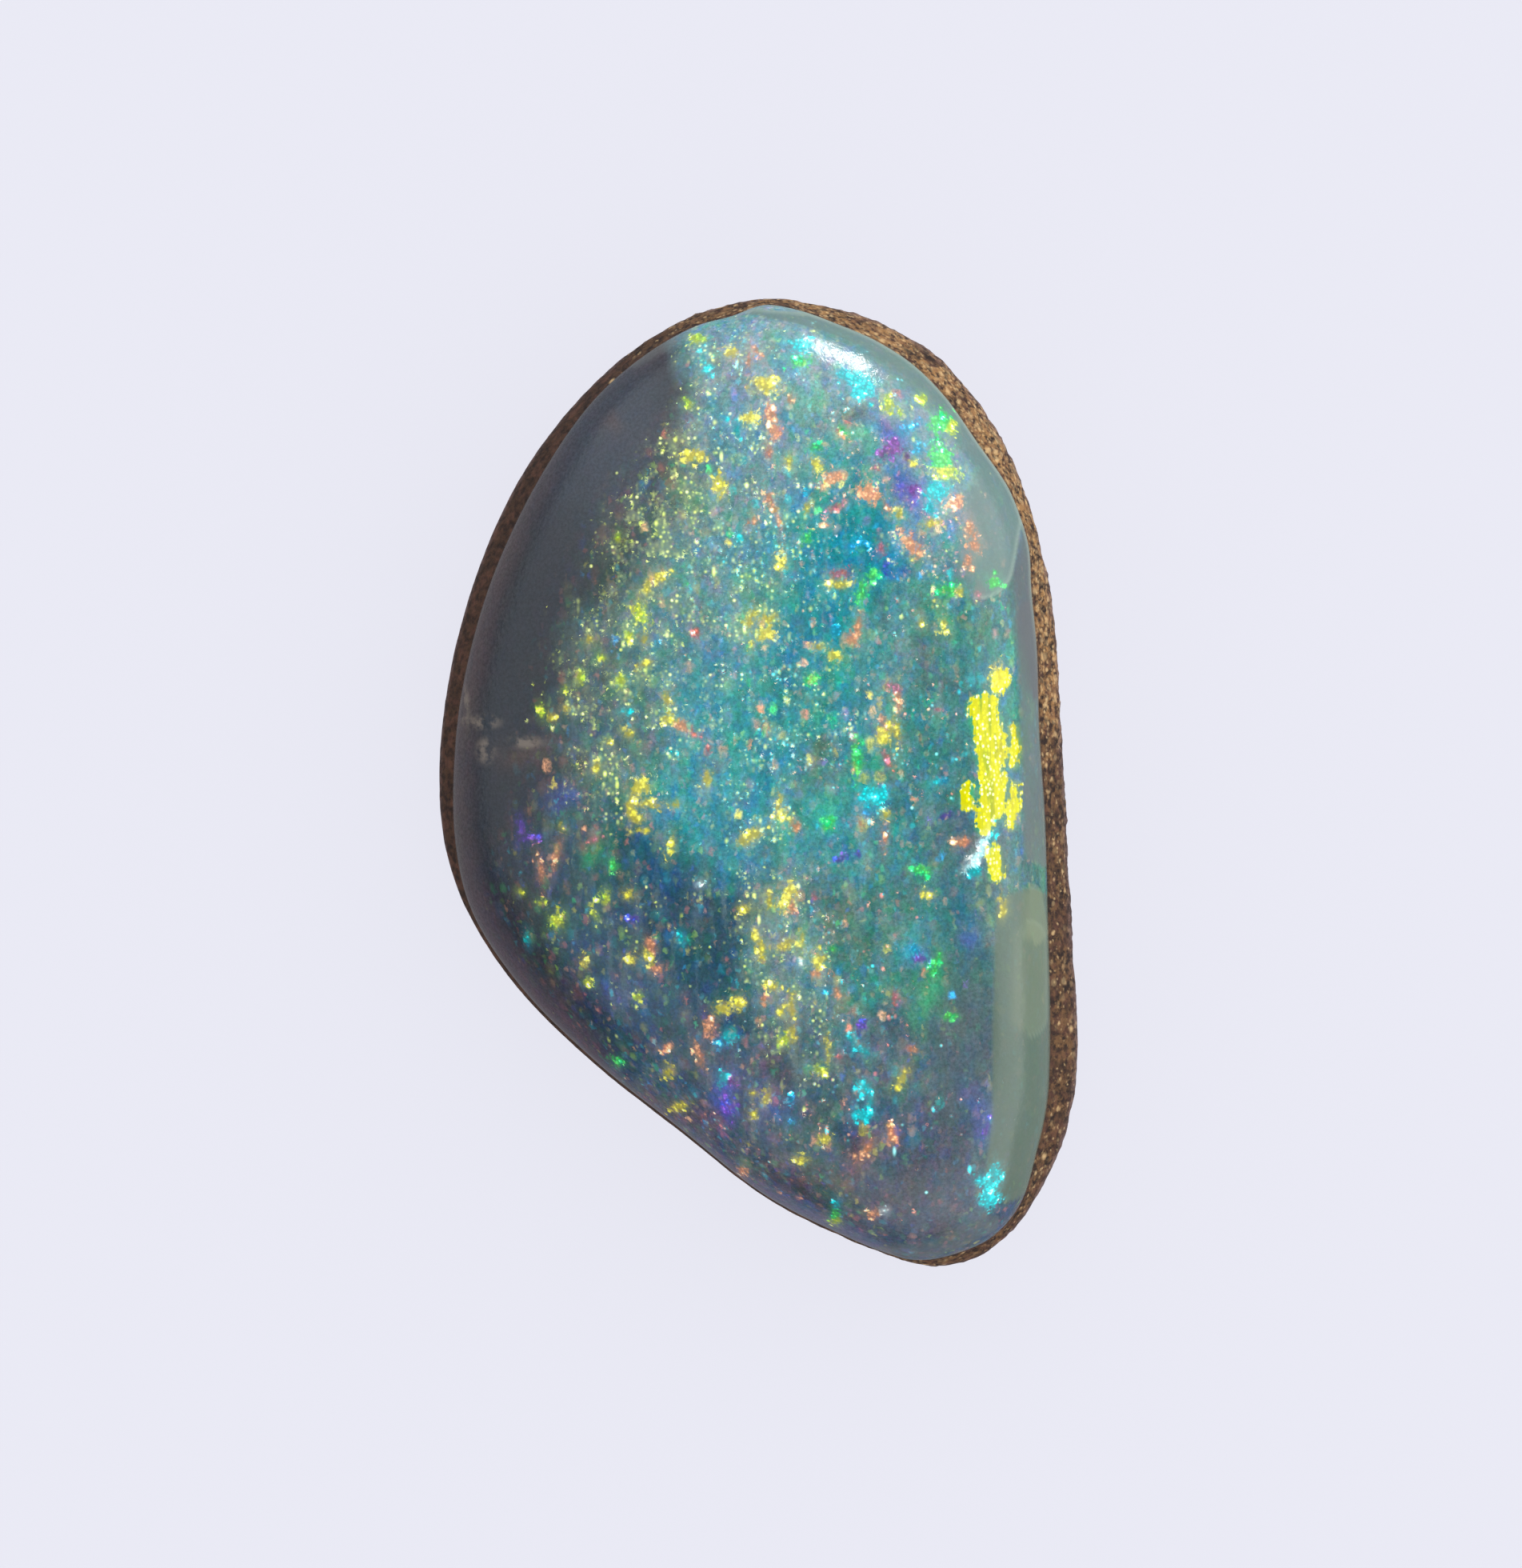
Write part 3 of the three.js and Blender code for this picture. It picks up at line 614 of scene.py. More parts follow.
def sand(points, size):
    """The depth of the sandy surface at each point, from 0 to 1."""
    return np.array([0.5 + 0.5 * noise.fractal(Vector(point) / size, 0.8, 2.1, 4) for point in points])


def place(azimuth, radius, height):
    """Points of the stone at these azimuths, radii and heights."""
    x = HEART[0] + radius * np.cos(azimuth)
    y = HEART[1] + radius * np.sin(azimuth)
    return np.column_stack([x, y, np.broadcast_to(height, azimuth.shape)])


def azimuths_for(share):
    """The azimuths of a ring, with fewer points where the ring is only a share of the whole outline."""
    halvings = min(HALVINGS, int(-math.log2(share)))
    count = AZIMUTHS >> halvings
    return FULL_TURN * np.arange(count) / count


def back_edge(azimuth):
    return girdle_radius(azimuth) - BACK_INSET * (1 + BACK_WAVER * lumps(azimuth, 0))


def back_ring(share):
    azimuth = azimuths_for(share)
    ring = place(azimuth, back_edge(azimuth) * share, 0)
    pits = np.clip(sand(ring, BACK_PIT_SIZE) - 0.55, 0, None) * smooth(1, 0.9, share)
    ring[:, 2] = BACK_PIT_DEPTH * pits
    return ring


def roughness_at(azimuth):
    """How rough the ironstone is: broken and sandy on the right, ground smooth on the left."""
    return 0.15 + 0.85 * smooth(-0.5, 0.3, np.cos(azimuth - ROUGH_AZIMUTH))


def rough_ring(azimuth, radius, height, weight):
    """A ring of the ironstone's sides, roughened by its lumps and its sand."""
    ring = place(azimuth, radius, height)
    depth = CHUNK_DEPTH * (sand(ring, CHUNK_SIZE) - SAND_LEVEL)
    depth += GRAIN_DEPTH * (sand(ring, GRAIN_SIZE) - SAND_LEVEL)
    return place(azimuth, radius - depth * weight * roughness_at(azimuth), height)


def bevel_ring(share):
    azimuth = azimuths_for(1)
    turn = share * math.pi / 2
    edge = back_edge(azimuth)
    radius = edge + (girdle_radius(azimuth) - edge) * math.sin(turn)
    return rough_ring(azimuth, radius, girdle_height(azimuth) * (1 - math.cos(turn)), smooth(0, 0.2, share))


def flank_ring(share):
    azimuth = azimuths_for(1)
    height = girdle_height(azimuth) + (seam_height(azimuth) - girdle_height(azimuth)) * share
    girdle = girdle_radius(azimuth)
    radius = girdle + (seam_radius(azimuth) - girdle) * share**FLANK_BULGE
    return rough_ring(azimuth, radius, height, smooth(1, 0.75, share))


def opal_ring(share):
    azimuth = azimuths_for(1 - share)
    ring = place(azimuth, seam_radius(azimuth) * (1 - share), 0)
    ring[:, 2] = opal_height(ring[:, 0], ring[:, 1])
    return ring


def band(lower, upper):
    """Faces between two rings of vertex numbers, where one ring may have half the points of the other."""
    faces = []
    small, large = sorted((len(lower), len(upper)))
    for i in range(small):
        j = (i + 1) % small
        if len(lower) == len(upper):
            faces.append((lower[i], lower[j], upper[j], upper[i]))
            continue
        middle = 2 * i + 1
        after = (2 * i + 2) % large
        if len(lower) > len(upper):
            faces.append((lower[2 * i], lower[middle], upper[i]))
            faces.append((lower[middle], upper[j], upper[i]))
            faces.append((lower[middle], lower[after], upper[j]))
        else:
            faces.append((lower[i], upper[middle], upper[2 * i]))
            faces.append((lower[i], lower[j], upper[middle]))
            faces.append((lower[j], upper[after], upper[middle]))
    return faces


def stone_rings():
    """The rings from the middle of the back to the middle of the crown, and how many are ironstone."""
    ironstone = [back_ring(k / BACK_RINGS) for k in range(1, BACK_RINGS + 1)]
    ironstone += [bevel_ring(k / BEVEL_RINGS) for k in range(1, BEVEL_RINGS + 1)]
    ironstone += [flank_ring(k / FLANK_RINGS) for k in range(1, FLANK_RINGS + 1)]
    opal = [opal_ring((k / OPAL_RINGS) ** OPAL_CROWDING) for k in range(OPAL_RINGS)]
    return ironstone + opal, len(ironstone)


def stone_mesh():
    """The whole stone as one closed mesh: its points in millimetres, its faces and where the opal's start."""
    rings, ironstone_rings = stone_rings()
    middle_of_back = np.array([[*HEART, 0]])
    middle_of_crown = np.array([[*HEART, crown_height(*HEART)]])
    points = np.concatenate([middle_of_back, *rings, middle_of_crown])
    numbers = []
    start = 1
    for ring in rings:
        numbers.append(list(range(start, start + len(ring))))
        start += len(ring)
    first, last = numbers[0], numbers[-1]
    faces = [(0, first[(i + 1) % len(first)], first[i]) for i in range(len(first))]
    for k in range(len(numbers) - 1):
        if k == ironstone_rings - 1:
            opal_start = len(faces)
        faces += band(numbers[k], numbers[k + 1])
    faces += [(last[i], last[(i + 1) % len(last)], len(points) - 1) for i in range(len(last))]
    return points, faces, opal_start


def path_reach(x, y, path):
    """How far inside a path of (x, y, radius) points each place is, and which are on the right of its run."""
    best = np.full(x.shape, -np.inf)
    right = np.zeros(x.shape, bool)
    for (x0, y0, r0), (x1, y1, r1) in zip(path, path[1:]):
        run_x = x1 - x0
        run_y = y1 - y0
        share = np.clip(((x - x0) * run_x + (y - y0) * run_y) / (run_x**2 + run_y**2), 0, 1)
        reach = r0 + share * (r1 - r0) - np.hypot(x - x0 - share * run_x, y - y0 - share * run_y)
        on_right = (x - x0) * run_y > (y - y0) * run_x
        right = np.where(reach > best, on_right, right)
        best = np.maximum(best, reach)
    return best, right


def stirred(x, y):
    """The places shifted a little, so that painted patches have uneven outlines."""
    noise.seed_set(STIR_SEED)  # without a seed, noise_vector differs from run to run
    shifts = np.zeros((len(x), 2))
    for scale, amount in STIRS:
        shifts += [amount * noise.noise_vector(Vector((u, v, scale)) * scale).xy for u, v in zip(x, y)]
    return x + shifts[:, 0], y + shifts[:, 1]


def bump(x, y, zone):
    """A soft round weight that is 1 at the middle of a zone of (x, y, reach in x, reach in y)."""
    return np.exp(-(((x - zone[0]) / zone[2]) ** 2) - ((y - zone[1]) / zone[3]) ** 2)


def shaded_side_share(x, y, overlap=0):
    """1 on the dark side of the dome, where shade is painted, and 0 where the play of colour shows."""
    border_x, border_y = np.array(DARK_BORDER[::-1]).T
    level, softness = np.array(DARK_SOFTNESS).T
    soft = np.interp(y, level, softness)
    inward = (x - np.interp(y, border_y, border_x)) / soft - overlap
    return smooth(1, -1, inward)


def edge_distance(x, y):
    return seam_radius(azimuth_of(x, y)) - distance_of(x, y)


def paint_body(x, y):
    """The opal's body colour at each place."""
    edge = smooth(BRINK_WIDTH, 0.1, edge_distance(x, y))[:, None]
    levels = [level for level, name in BRINKS]
    hues = np.array([linear(name) for level, name in BRINKS])
    brink = np.column_stack([np.interp(y, levels, channel) for channel in hues.T])
    x, y = stirred(x, y)
    total = np.zeros((len(x), 3))
    weights = np.zeros(len(x))
    for colour, zones in BODY_ZONES.items():
        for zone in zones:
            weight = bump(x, y, zone) + 1e-6
            total += weight[:, None] * linear(colour)
            weights += weight
    body = total / weights[:, None]
    # Painted shade: the dark side takes the opal's dark body colour in place of its play of colour
    dark = linear("slate") + (brink - linear("slate")) * edge
    share = shaded_side_share(x, y, DARK_OVERLAP)[:, None]
    body = body + (dark - body) * share
    for colour, glow_x, glow_y, width, height, strength in GLOWS:
        weight = strength * bump(x, y, (glow_x, glow_y, width / 2, height / 2))[:, None]
        body = body + (linear(colour) - body) * weight
    return np.column_stack([body, np.ones(len(x))])


def paint_milk_and_reflections(x, y):
    """The painted reflections on the steep sides, laid on as milky opal, and the painted glint on the edge at
    the upper right, as a colour and its strength, each laid over the ones before.
    """
    layers = []
    for name, strength, softness, paleness, path in MILK_AND_REFLECTIONS:
        reach, inner = path_reach(x, y, path)
        cover = smooth(-REFLECTION_EDGE, np.where(inner, softness, REFLECTION_EDGE), reach)
        layers.append((name, strength * cover))
        # The outer edge of each is a painted glint
        layers.append(("painted_glint", paleness * cover * smooth(REFLECTION_RIM, 0, reach) * ~inner))
    # A painted glint along the opal's edge, palest at the upper right
    facing = smooth(0.7, 1, np.cos(azimuth_of(x, y) - GLINT_AZIMUTH))
    painted_glint = smooth(GLINT_WIDTH, 0, edge_distance(x, y)) * facing
    layers.append(("painted_glint", GLINT_STRENGTH * painted_glint))
    colour = np.zeros((len(x), 3))
    bare = np.ones(len(x))
    for name, weight in layers:
        colour = colour * (1 - weight[:, None]) + linear(name) * weight[:, None]
        bare = bare * (1 - weight)
    strength = 1 - bare
    return np.column_stack([colour / np.maximum(strength, 1e-6)[:, None], strength])


def paint_flashes(x, y):
    """For the nearest flash: its reach, its two colours, and the place in it in units of its half sizes."""
    colours = np.zeros((len(x), 4))
    partners = np.zeros((len(x), 4))
    places = np.zeros((len(x), 3))
    reach = np.full(len(x), -9.0)
    for colour, flashes in FLASHES.items():
        level = FLASH_LEVELS.get(colour, 1)
        for flash_x, flash_y, width, height, *turn in flashes:
            angle = math.radians(sum(turn))
            width *= FLASH_SPREAD
            height *= FLASH_SPREAD
            shift_x = x - flash_x
            shift_y = y - flash_y
            along = (shift_x * math.cos(angle) + shift_y * math.sin(angle)) * 2 / width
            across = (shift_y * math.cos(angle) - shift_x * math.sin(angle)) * 2 / height
            half = min(width, height) / 2
            inside = (1 - np.hypot(along, across)) * half
            nearer = inside > reach
            colours[nearer, :3] = linear(colour) * level
            partners[nearer, :3] = linear(PARTNERS[colour]) * level
            places[nearer] = np.column_stack([along, across, np.full(len(x), half)])[nearer]
            reach = np.maximum(reach, inside)
    colours[:, 3] = reach
    return colours, partners, places


def paint_slab(x, y):
    """How far inside the great yellow flash each place is."""
    return np.max([path_reach(x, y, path)[0] for path in SLAB], axis=0)


def paint_pinfire(x, y):
    """The density of gold, cyan and rose pinfire, which the painted shade of the dark side takes away."""
    play = 1 - shaded_side_share(x, y)
    densities = []
    for zones in PINFIRE.values():
        density = np.zeros(len(x))
        for zone in zones:
            density = np.maximum(density, zone[4] * bump(x, y, zone))
        densities.append(density * play)
    calm = np.max([zone[4] * bump(x, y, zone) for zone in CALM], axis=0)
    return np.column_stack([*densities, play * (1 - calm)])


def paint_dust(x, y):
    """The share of pale dust on the dark side."""
    patches = [bump(x, y, (dust_x, dust_y, width / 2, height / 2)) for dust_x, dust_y, width, height in DUST]
    return np.max(patches, axis=0)


def paint_ironstone(x, y, z):
    """How far each place is below the seam, where the girdle is 1, and how sandy and golden it is."""
    azimuth = azimuth_of(x, y)
    seam = seam_height(azimuth)
    right = WARMTH_RIGHT * smooth(-0.2, 0.4, np.cos(azimuth))
    upper_right = smooth(0.4, 1, np.cos(azimuth - WARM_AZIMUTH))
    return (seam - z) / (seam - girdle_height(azimuth)), np.maximum(right, upper_right)


def paint_stone(mesh, points):
    """Stores every painted value at the points of the mesh, for the materials to read."""
    x, y, z = points.T
    flash, partner, flash_place = paint_flashes(x, y)
    level, warmth = paint_ironstone(x, y, z)
    painted = {
        ("FLOAT_COLOR", "color"): {
            "body": paint_body(x, y), "milk_and_reflection": paint_milk_and_reflections(x, y), "flash": flash,
            "flash_partner": partner, "pinfire": paint_pinfire(x, y),
        },
        ("FLOAT_VECTOR", "vector"): {"flash_place": flash_place},
        ("FLOAT", "value"): {
            "slab": paint_slab(x, y), "dust": paint_dust(x, y), "level": level, "warmth": warmth,
        },
    }
    for (kind, field), layers in painted.items():
        for name, values in layers.items():
            attribute = mesh.attributes.new(name, kind, "POINT")
            attribute.data.foreach_set(field, values.astype(np.float32).ravel())


class Shader:
    """Adds nodes to a material or a world and links them, so that a shader reads like a formula."""

    def __init__(self, owner):
        owner.use_nodes = True
        self.owner = owner
        self.tree = owner.node_tree
        self.tree.nodes.clear()

    def node(self, kind, inputs, **settings):
        node = self.tree.nodes.new(kind)
        for name, value in settings.items():
            setattr(node, name, value)
        for socket, value in inputs.items():
            if isinstance(value, bpy.types.NodeSocket):
                self.tree.links.new(value, node.inputs[socket])
            else:
                node.inputs[socket].default_value = value
        return node

    def attribute(self, name):
        return self.node("ShaderNodeAttribute", {}, attribute_name=name)

    def math(self, operation, *values):
        return self.node("ShaderNodeMath", dict(enumerate(values)), operation=operation).outputs[0]

    def vector(self, operation, *values):
        return self.node("ShaderNodeVectorMath", dict(enumerate(values)), operation=operation).outputs[0]

    def mix(self, factor, a, b, blend="MIX"):
        inputs = {0: factor, 6: a, 7: b}
        return self.node("ShaderNodeMix", inputs, data_type="RGBA", blend_type=blend).outputs[2]

    def light(self, colour, light, strength):
        """Coloured light of this strength, added to a colour."""
        inputs = {0: strength, 6: colour, 7: light}
        settings = {"data_type": "RGBA", "blend_type": "ADD", "clamp_factor": False}
        return self.node("ShaderNodeMix", inputs, **settings).outputs[2]

    def product(self, *values):
        result = values[0]
        for value in values[1:]:
            result = self.math("MULTIPLY", result, value)
        return result

    def rise(self, value, low, high, to_low=0.0, to_high=1.0):
        inputs = {0: value, 1: low, 2: high, 3: to_low, 4: to_high}
        return self.node("ShaderNodeMapRange", inputs, interpolation_type="SMOOTHSTEP").outputs[0]

    def noise(self, vector, scale, detail=2.0, roughness=0.5):
        inputs = {"Vector": vector, "Scale": scale, "Detail": detail, "Roughness": roughness}
        return self.node("ShaderNodeTexNoise", inputs)

    def cells(self, vector, scale):
        """Cells of about one over the scale across: the distance to a cell's middle and its random values."""
        node = self.node("ShaderNodeTexVoronoi", {"Vector": vector, "Scale": scale})
        parts = self.node("ShaderNodeSeparateColor", {0: node.outputs["Color"]})
        return node.outputs["Distance"], parts.outputs

    def ramp(self, factor, names):
        """One of the named colours, by even steps of a factor from 0 to 1."""
        node = self.node("ShaderNodeValToRGB", {0: factor})
        node.color_ramp.interpolation = "CONSTANT"
        elements = node.color_ramp.elements
        while len(elements) < len(names):
            elements.new(0.5)
        for step, (element, name) in enumerate(zip(elements, names)):
            element.position = step / len(names)
            element.color = self.colour(name)
        return node.outputs[0]

    def colour(self, name):
        return (*linear(name), 1)

    def finish(self, inputs):
        """The material, with a surface of these values."""
        surface = self.node("ShaderNodeBsdfPrincipled", inputs)
        self.node("ShaderNodeOutputMaterial", {0: surface.outputs[0]})
        return self.owner


def millimetres(shader):
    """The place on the stone, in millimetres."""
    coordinates = shader.node("ShaderNodeTexCoord", {}).outputs["Object"]
    inputs = {0: coordinates, "Scale": 1 / MM}
    return shader.node("ShaderNodeVectorMath", inputs, operation="SCALE").outputs[0]


def wobbled(shader, place_mm):
    """The place, drawn out lengthwise and shifted a little at random, so that no edge is quite straight."""
    stretched = shader.vector("MULTIPLY", place_mm, GRAIN_STRETCH)
    for scale, amount in WOBBLES:
        wobble = shader.noise(place_mm, scale, 2.0).outputs["Color"]
        wobble = shader.vector("SUBTRACT", wobble, (0.5, 0.5, 0.5))
        stretched = shader.vector("MULTIPLY_ADD", wobble, (amount, amount, amount), stretched)
    return stretched


def add_mottles(shader, colour, place_mm, play):
    """Hazy patches of other hues, coarse to fine, and upright milky fibres."""
    clear = shader.math("MULTIPLY_ADD", play, 0.85, 0.15)
    for scale, tints in MOTTLES.items():
        cloud = shader.noise(place_mm, scale, 3.0, 0.55).outputs["Color"]
        fields = shader.node("ShaderNodeSeparateColor", {0: cloud}).outputs
        for field, tint in zip(fields, tints):
            share = shader.math("MULTIPLY", shader.rise(field, 0.47, 0.66), clear)
            colour = shader.mix(share, colour, (*tint, 1), "MULTIPLY")
    upright = shader.vector("MULTIPLY", place_mm, (4.5, 0.9, 1.0))
    fibre = shader.noise(upright, 1.0, 4.0, 0.6).outputs[0]
    pale = shader.product(shader.rise(fibre, 0.5, 0.72, 0.0, 0.11), play, play)
    colour = shader.mix(pale, colour, shader.colour("fibre"))
    dim = shader.math("SUBTRACT", 1.0, shader.product(shader.rise(fibre, 0.45, 0.3, 0.0, 0.15), play, play))
    return shader.mix(1.0, colour, dim, "MULTIPLY")


def add_flecks(shader, colour, place_mm, play):
    """Dim soft flecks of every hue between the bright ones."""
    for scale, strength in FLECK_LAYERS:
        distance, random = shader.cells(place_mm, scale)
        fleck = shader.rise(distance, 0.6, 0.1)
        level = shader.math("MULTIPLY_ADD", shader.math("POWER", random[1], 2.0), strength, strength * 0.3)
        lit = shader.math("LESS_THAN", random[2], FLECK_SHARE)
        hue = shader.ramp(random[0], FLECK_HUES)
        colour = shader.light(colour, hue, shader.product(fleck, level, lit, play))
    return colour


def add_flakes(shader, colour, place_mm, density):
    """Small flat crystals of every hue, dimmer than the painted flashes."""
    grain = shader.rise(shader.noise(place_mm, 16.0, 2.0).outputs[0], 0.35, 0.65, 0.4, 1.5)
    for scale, radius, strength in FLAKE_LAYERS:
        distance, random = shader.cells(place_mm, scale)
        flake = shader.rise(distance, radius, 0.2 * radius)
        lit = shader.math("LESS_THAN", random[2], shader.math("MULTIPLY", density, FLAKE_SHARE))
        level = shader.math("MULTIPLY_ADD", random[1], 1.6 * strength, 0.4 * strength)
        hue = shader.ramp(random[0], FLAKE_HUES)
        cover = shader.product(flake, lit, 0.4)
        colour = shader.mix(cover, colour, shader.mix(0.8, hue, (0, 0, 0, 1)))
        colour = shader.light(colour, hue, shader.product(flake, lit, level, grain))
    return colour


def add_dust(shader, colour, place_mm):
    dust = shader.attribute("dust").outputs["Fac"]
    patch = shader.noise(place_mm, 3.5, 4.0, 0.6).outputs[0]
    share = shader.math("MULTIPLY", shader.rise(patch, 0.4, 0.6), shader.rise(dust, 0.1, 0.9, 0.0, 0.8))
    return shader.mix(share, colour, shader.colour("chalk"))


def add_pinfire(shader, colour, place_mm, densities):
    """The dust of tiny crystals, gathered in clusters: many are dim and a few are bright."""
    cluster = shader.noise(place_mm, 1.8, 5.0, 0.8).outputs[0]
    cluster = shader.rise(cluster, 0.47, 0.64, 0.06, 3.2)
    haze = shader.product(densities[0], shader.rise(cluster, 0.0, 3.2, 0.35, 2.2), 0.6)
    colour = shader.mix(haze, colour, shader.colour("sage"))
    for scale, spread, size, narrowness in DOT_LAYERS:
        squeezed = shader.vector("MULTIPLY", place_mm, (narrowness, 1 / narrowness, 1.0))
        distance, random = shader.cells(squeezed, scale)
        crowd = shader.math("MULTIPLY", cluster, spread)
        gold = shader.math("MULTIPLY", densities[0], crowd)
        cyan = shader.math("MULTIPLY_ADD", densities[1], crowd, gold)
        rose = shader.math("MULTIPLY_ADD", densities[2], crowd, cyan)
        tint = shader.rise(random[2], 0.2, 0.9)
        golds = shader.mix(tint, shader.colour("gold dust"), shader.colour("pale gold"))
        cyans = shader.mix(tint, shader.colour("cyan"), shader.colour("pale cyan"))
        roses = shader.mix(tint, shader.colour("coral"), shader.colour("peach"))
        dots = shader.mix(shader.math("LESS_THAN", random[0], cyan), roses, cyans)
        dots = shader.mix(shader.math("LESS_THAN", random[0], gold), dots, golds)
        core = shader.rise(distance, size, 0.0)
        level = shader.math("MULTIPLY_ADD", shader.math("POWER", random[1], 4.0), 2.2, 0.22)
        lit = shader.math("LESS_THAN", random[0], rose)
        strength = shader.product(core, core, level, lit)
        colour = shader.light(colour, dots, strength)
        colour = shader.light(colour, shader.colour("ice"), shader.rise(strength, 1.2, 3.0))
    return colour


def add_flashes(shader, colour, place_mm, straight_mm):
    """Patches of crystals of one colour: soft bright lumps and fine grains, with a faint glow round them."""
    flash = shader.attribute("flash").outputs
    partner = shader.attribute("flash_partner").outputs["Color"]
    spot = shader.attribute("flash_place").outputs["Vector"]
    half = shader.node("ShaderNodeSeparateXYZ", {0: spot}).outputs[2]
    flat = shader.vector("MULTIPLY", spot, (1.0, 1.0, 0.0))
    radius = shader.node("ShaderNodeVectorMath", {0: flat}, operation="LENGTH").outputs["Value"]
    inside = shader.math("MULTIPLY", shader.math("SUBTRACT", 1.0, radius), half)
    inside = shader.math("MINIMUM", inside, shader.math("ADD", flash["Alpha"], 0.03))
    ragged = shader.math("SUBTRACT", shader.noise(place_mm, 9.0, 3.0, 0.6).outputs[0], 0.5)
    inside = shader.math("MULTIPLY_ADD", ragged, shader.math("MULTIPLY_ADD", half, 2.5, 0.06), inside)
    jitter = shader.vector("SUBTRACT", shader.noise(straight_mm, 14.0, 1.0).outputs["Color"], (0.5, 0.5, 0.5))
    crumbled = shader.vector("MULTIPLY_ADD", jitter, (0.1, 0.1, 0.1), straight_mm)
    distance, random = shader.cells(crumbled, LUMPS_PER_MM)
    stray = shader.math("MULTIPLY_ADD", half, 1.0, 0.1)
    lump_inside = shader.math("MULTIPLY_ADD", shader.math("SUBTRACT", random[2], 0.5), stray, inside)
    soft = shader.rise(distance, 0.75, 0.0)
    lit = shader.rise(lump_inside, -0.02, 0.02)
    level = shader.math("MULTIPLY_ADD", shader.math("POWER", random[1], 2.0), 6.0, 0.6)
    grain_distance, grain_random = shader.cells(straight_mm, GRAINS_PER_MM)
    grain_level = shader.rise(grain_random[1], 0.2, 0.9, 0.3, 1.8)
    grain = shader.product(shader.rise(grain_distance, 0.7, 0.0), grain_level)
    grain = shader.math("ADD", grain, 0.55)
    lump = shader.math("MULTIPLY", lit, soft)
    strength = shader.product(lump, soft, level, grain)
    reach = shader.rise(inside, -0.04, 0.06)
    fill = shader.product(reach, grain, shader.rise(half, 0.05, 0.16, 0.3, 0.75))
    strength = shader.math("ADD", fill, strength)
    patches = shader.noise(place_mm, 5.0, 2.0).outputs[0]
    hue = shader.rise(shader.math("MULTIPLY_ADD", random[0], 0.3, patches), 0.5, 0.85, 0.0, 0.7)
    hue = shader.math("MAXIMUM", hue, shader.rise(soft, 0.5, 0.1, 0.0, 0.5))
    crystal = shader.mix(hue, flash["Color"], partner)
    cover = shader.math("MAXIMUM", shader.math("MULTIPLY", reach, 0.75), shader.math("MULTIPLY", lump, 0.9))
    colour = shader.mix(cover, colour, shader.mix(0.85, crystal, (0, 0, 0, 1)))
    glow = shader.rise(inside, -0.16, 0.02)
    colour = shader.light(colour, flash["Color"], shader.math("MULTIPLY", glow, 0.08))
    colour = shader.light(colour, crystal, strength)
    white = shader.rise(strength, 1.6, 4.4, 0.0, 0.9)
    return shader.light(colour, shader.colour("ice"), white)


def add_slab(shader, colour, place_mm):
    """The great yellow flash, with fine upright striations and rows of white dots."""
    slab = shader.attribute("slab").outputs["Fac"]
    combed = shader.vector("MULTIPLY", place_mm, STRIATIONS)
    comb = shader.noise(combed, 1.0, 2.0).outputs[0]
    crumbs = shader.noise(place_mm, 9.0, 3.0).outputs[0]
    edge = shader.math("MULTIPLY_ADD", shader.math("SUBTRACT", comb, 0.4), 0.35, slab)
    edge = shader.math("MULTIPLY_ADD", shader.math("SUBTRACT", crumbs, 0.45), 0.3, edge)
    squat = shader.vector("MULTIPLY", place_mm, (1.2, 0.9, 1.0))
    distance, random = shader.cells(squat, DOTS_PER_MM)
    right = shader.rise(shader.node("ShaderNodeSeparateXYZ", {0: place_mm}).outputs[0], 4.1, 4.6)
    gaps = shader.mix(right, shader.colour("leaf"), shader.colour("gilt"))
    streaks = shader.mix(shader.rise(comb, 0.34, 0.52, 0.1, 1.0), gaps, shader.colour("lemon"))
    streaks = shader.mix(1.0, streaks, shader.rise(distance, 0.25, 0.6, 1.0, 0.75), "MULTIPLY")
    sparse = shader.math("MULTIPLY_ADD", right, -0.4, 0.9)
    dots = shader.product(shader.rise(random[1], 0.3, 0.5), shader.rise(distance, 0.5, 0.1), sparse)
    streaks = shader.light(streaks, shader.colour("ice"), dots)
    glow = shader.rise(slab, -0.15, 0.06, 0.0, 0.45)
    halo = shader.mix(right, shader.colour("green"), shader.colour("leaf"))
    colour = shader.mix(glow, colour, halo)
    return shader.mix(shader.rise(edge, -0.03, 0.03), colour, streaks)


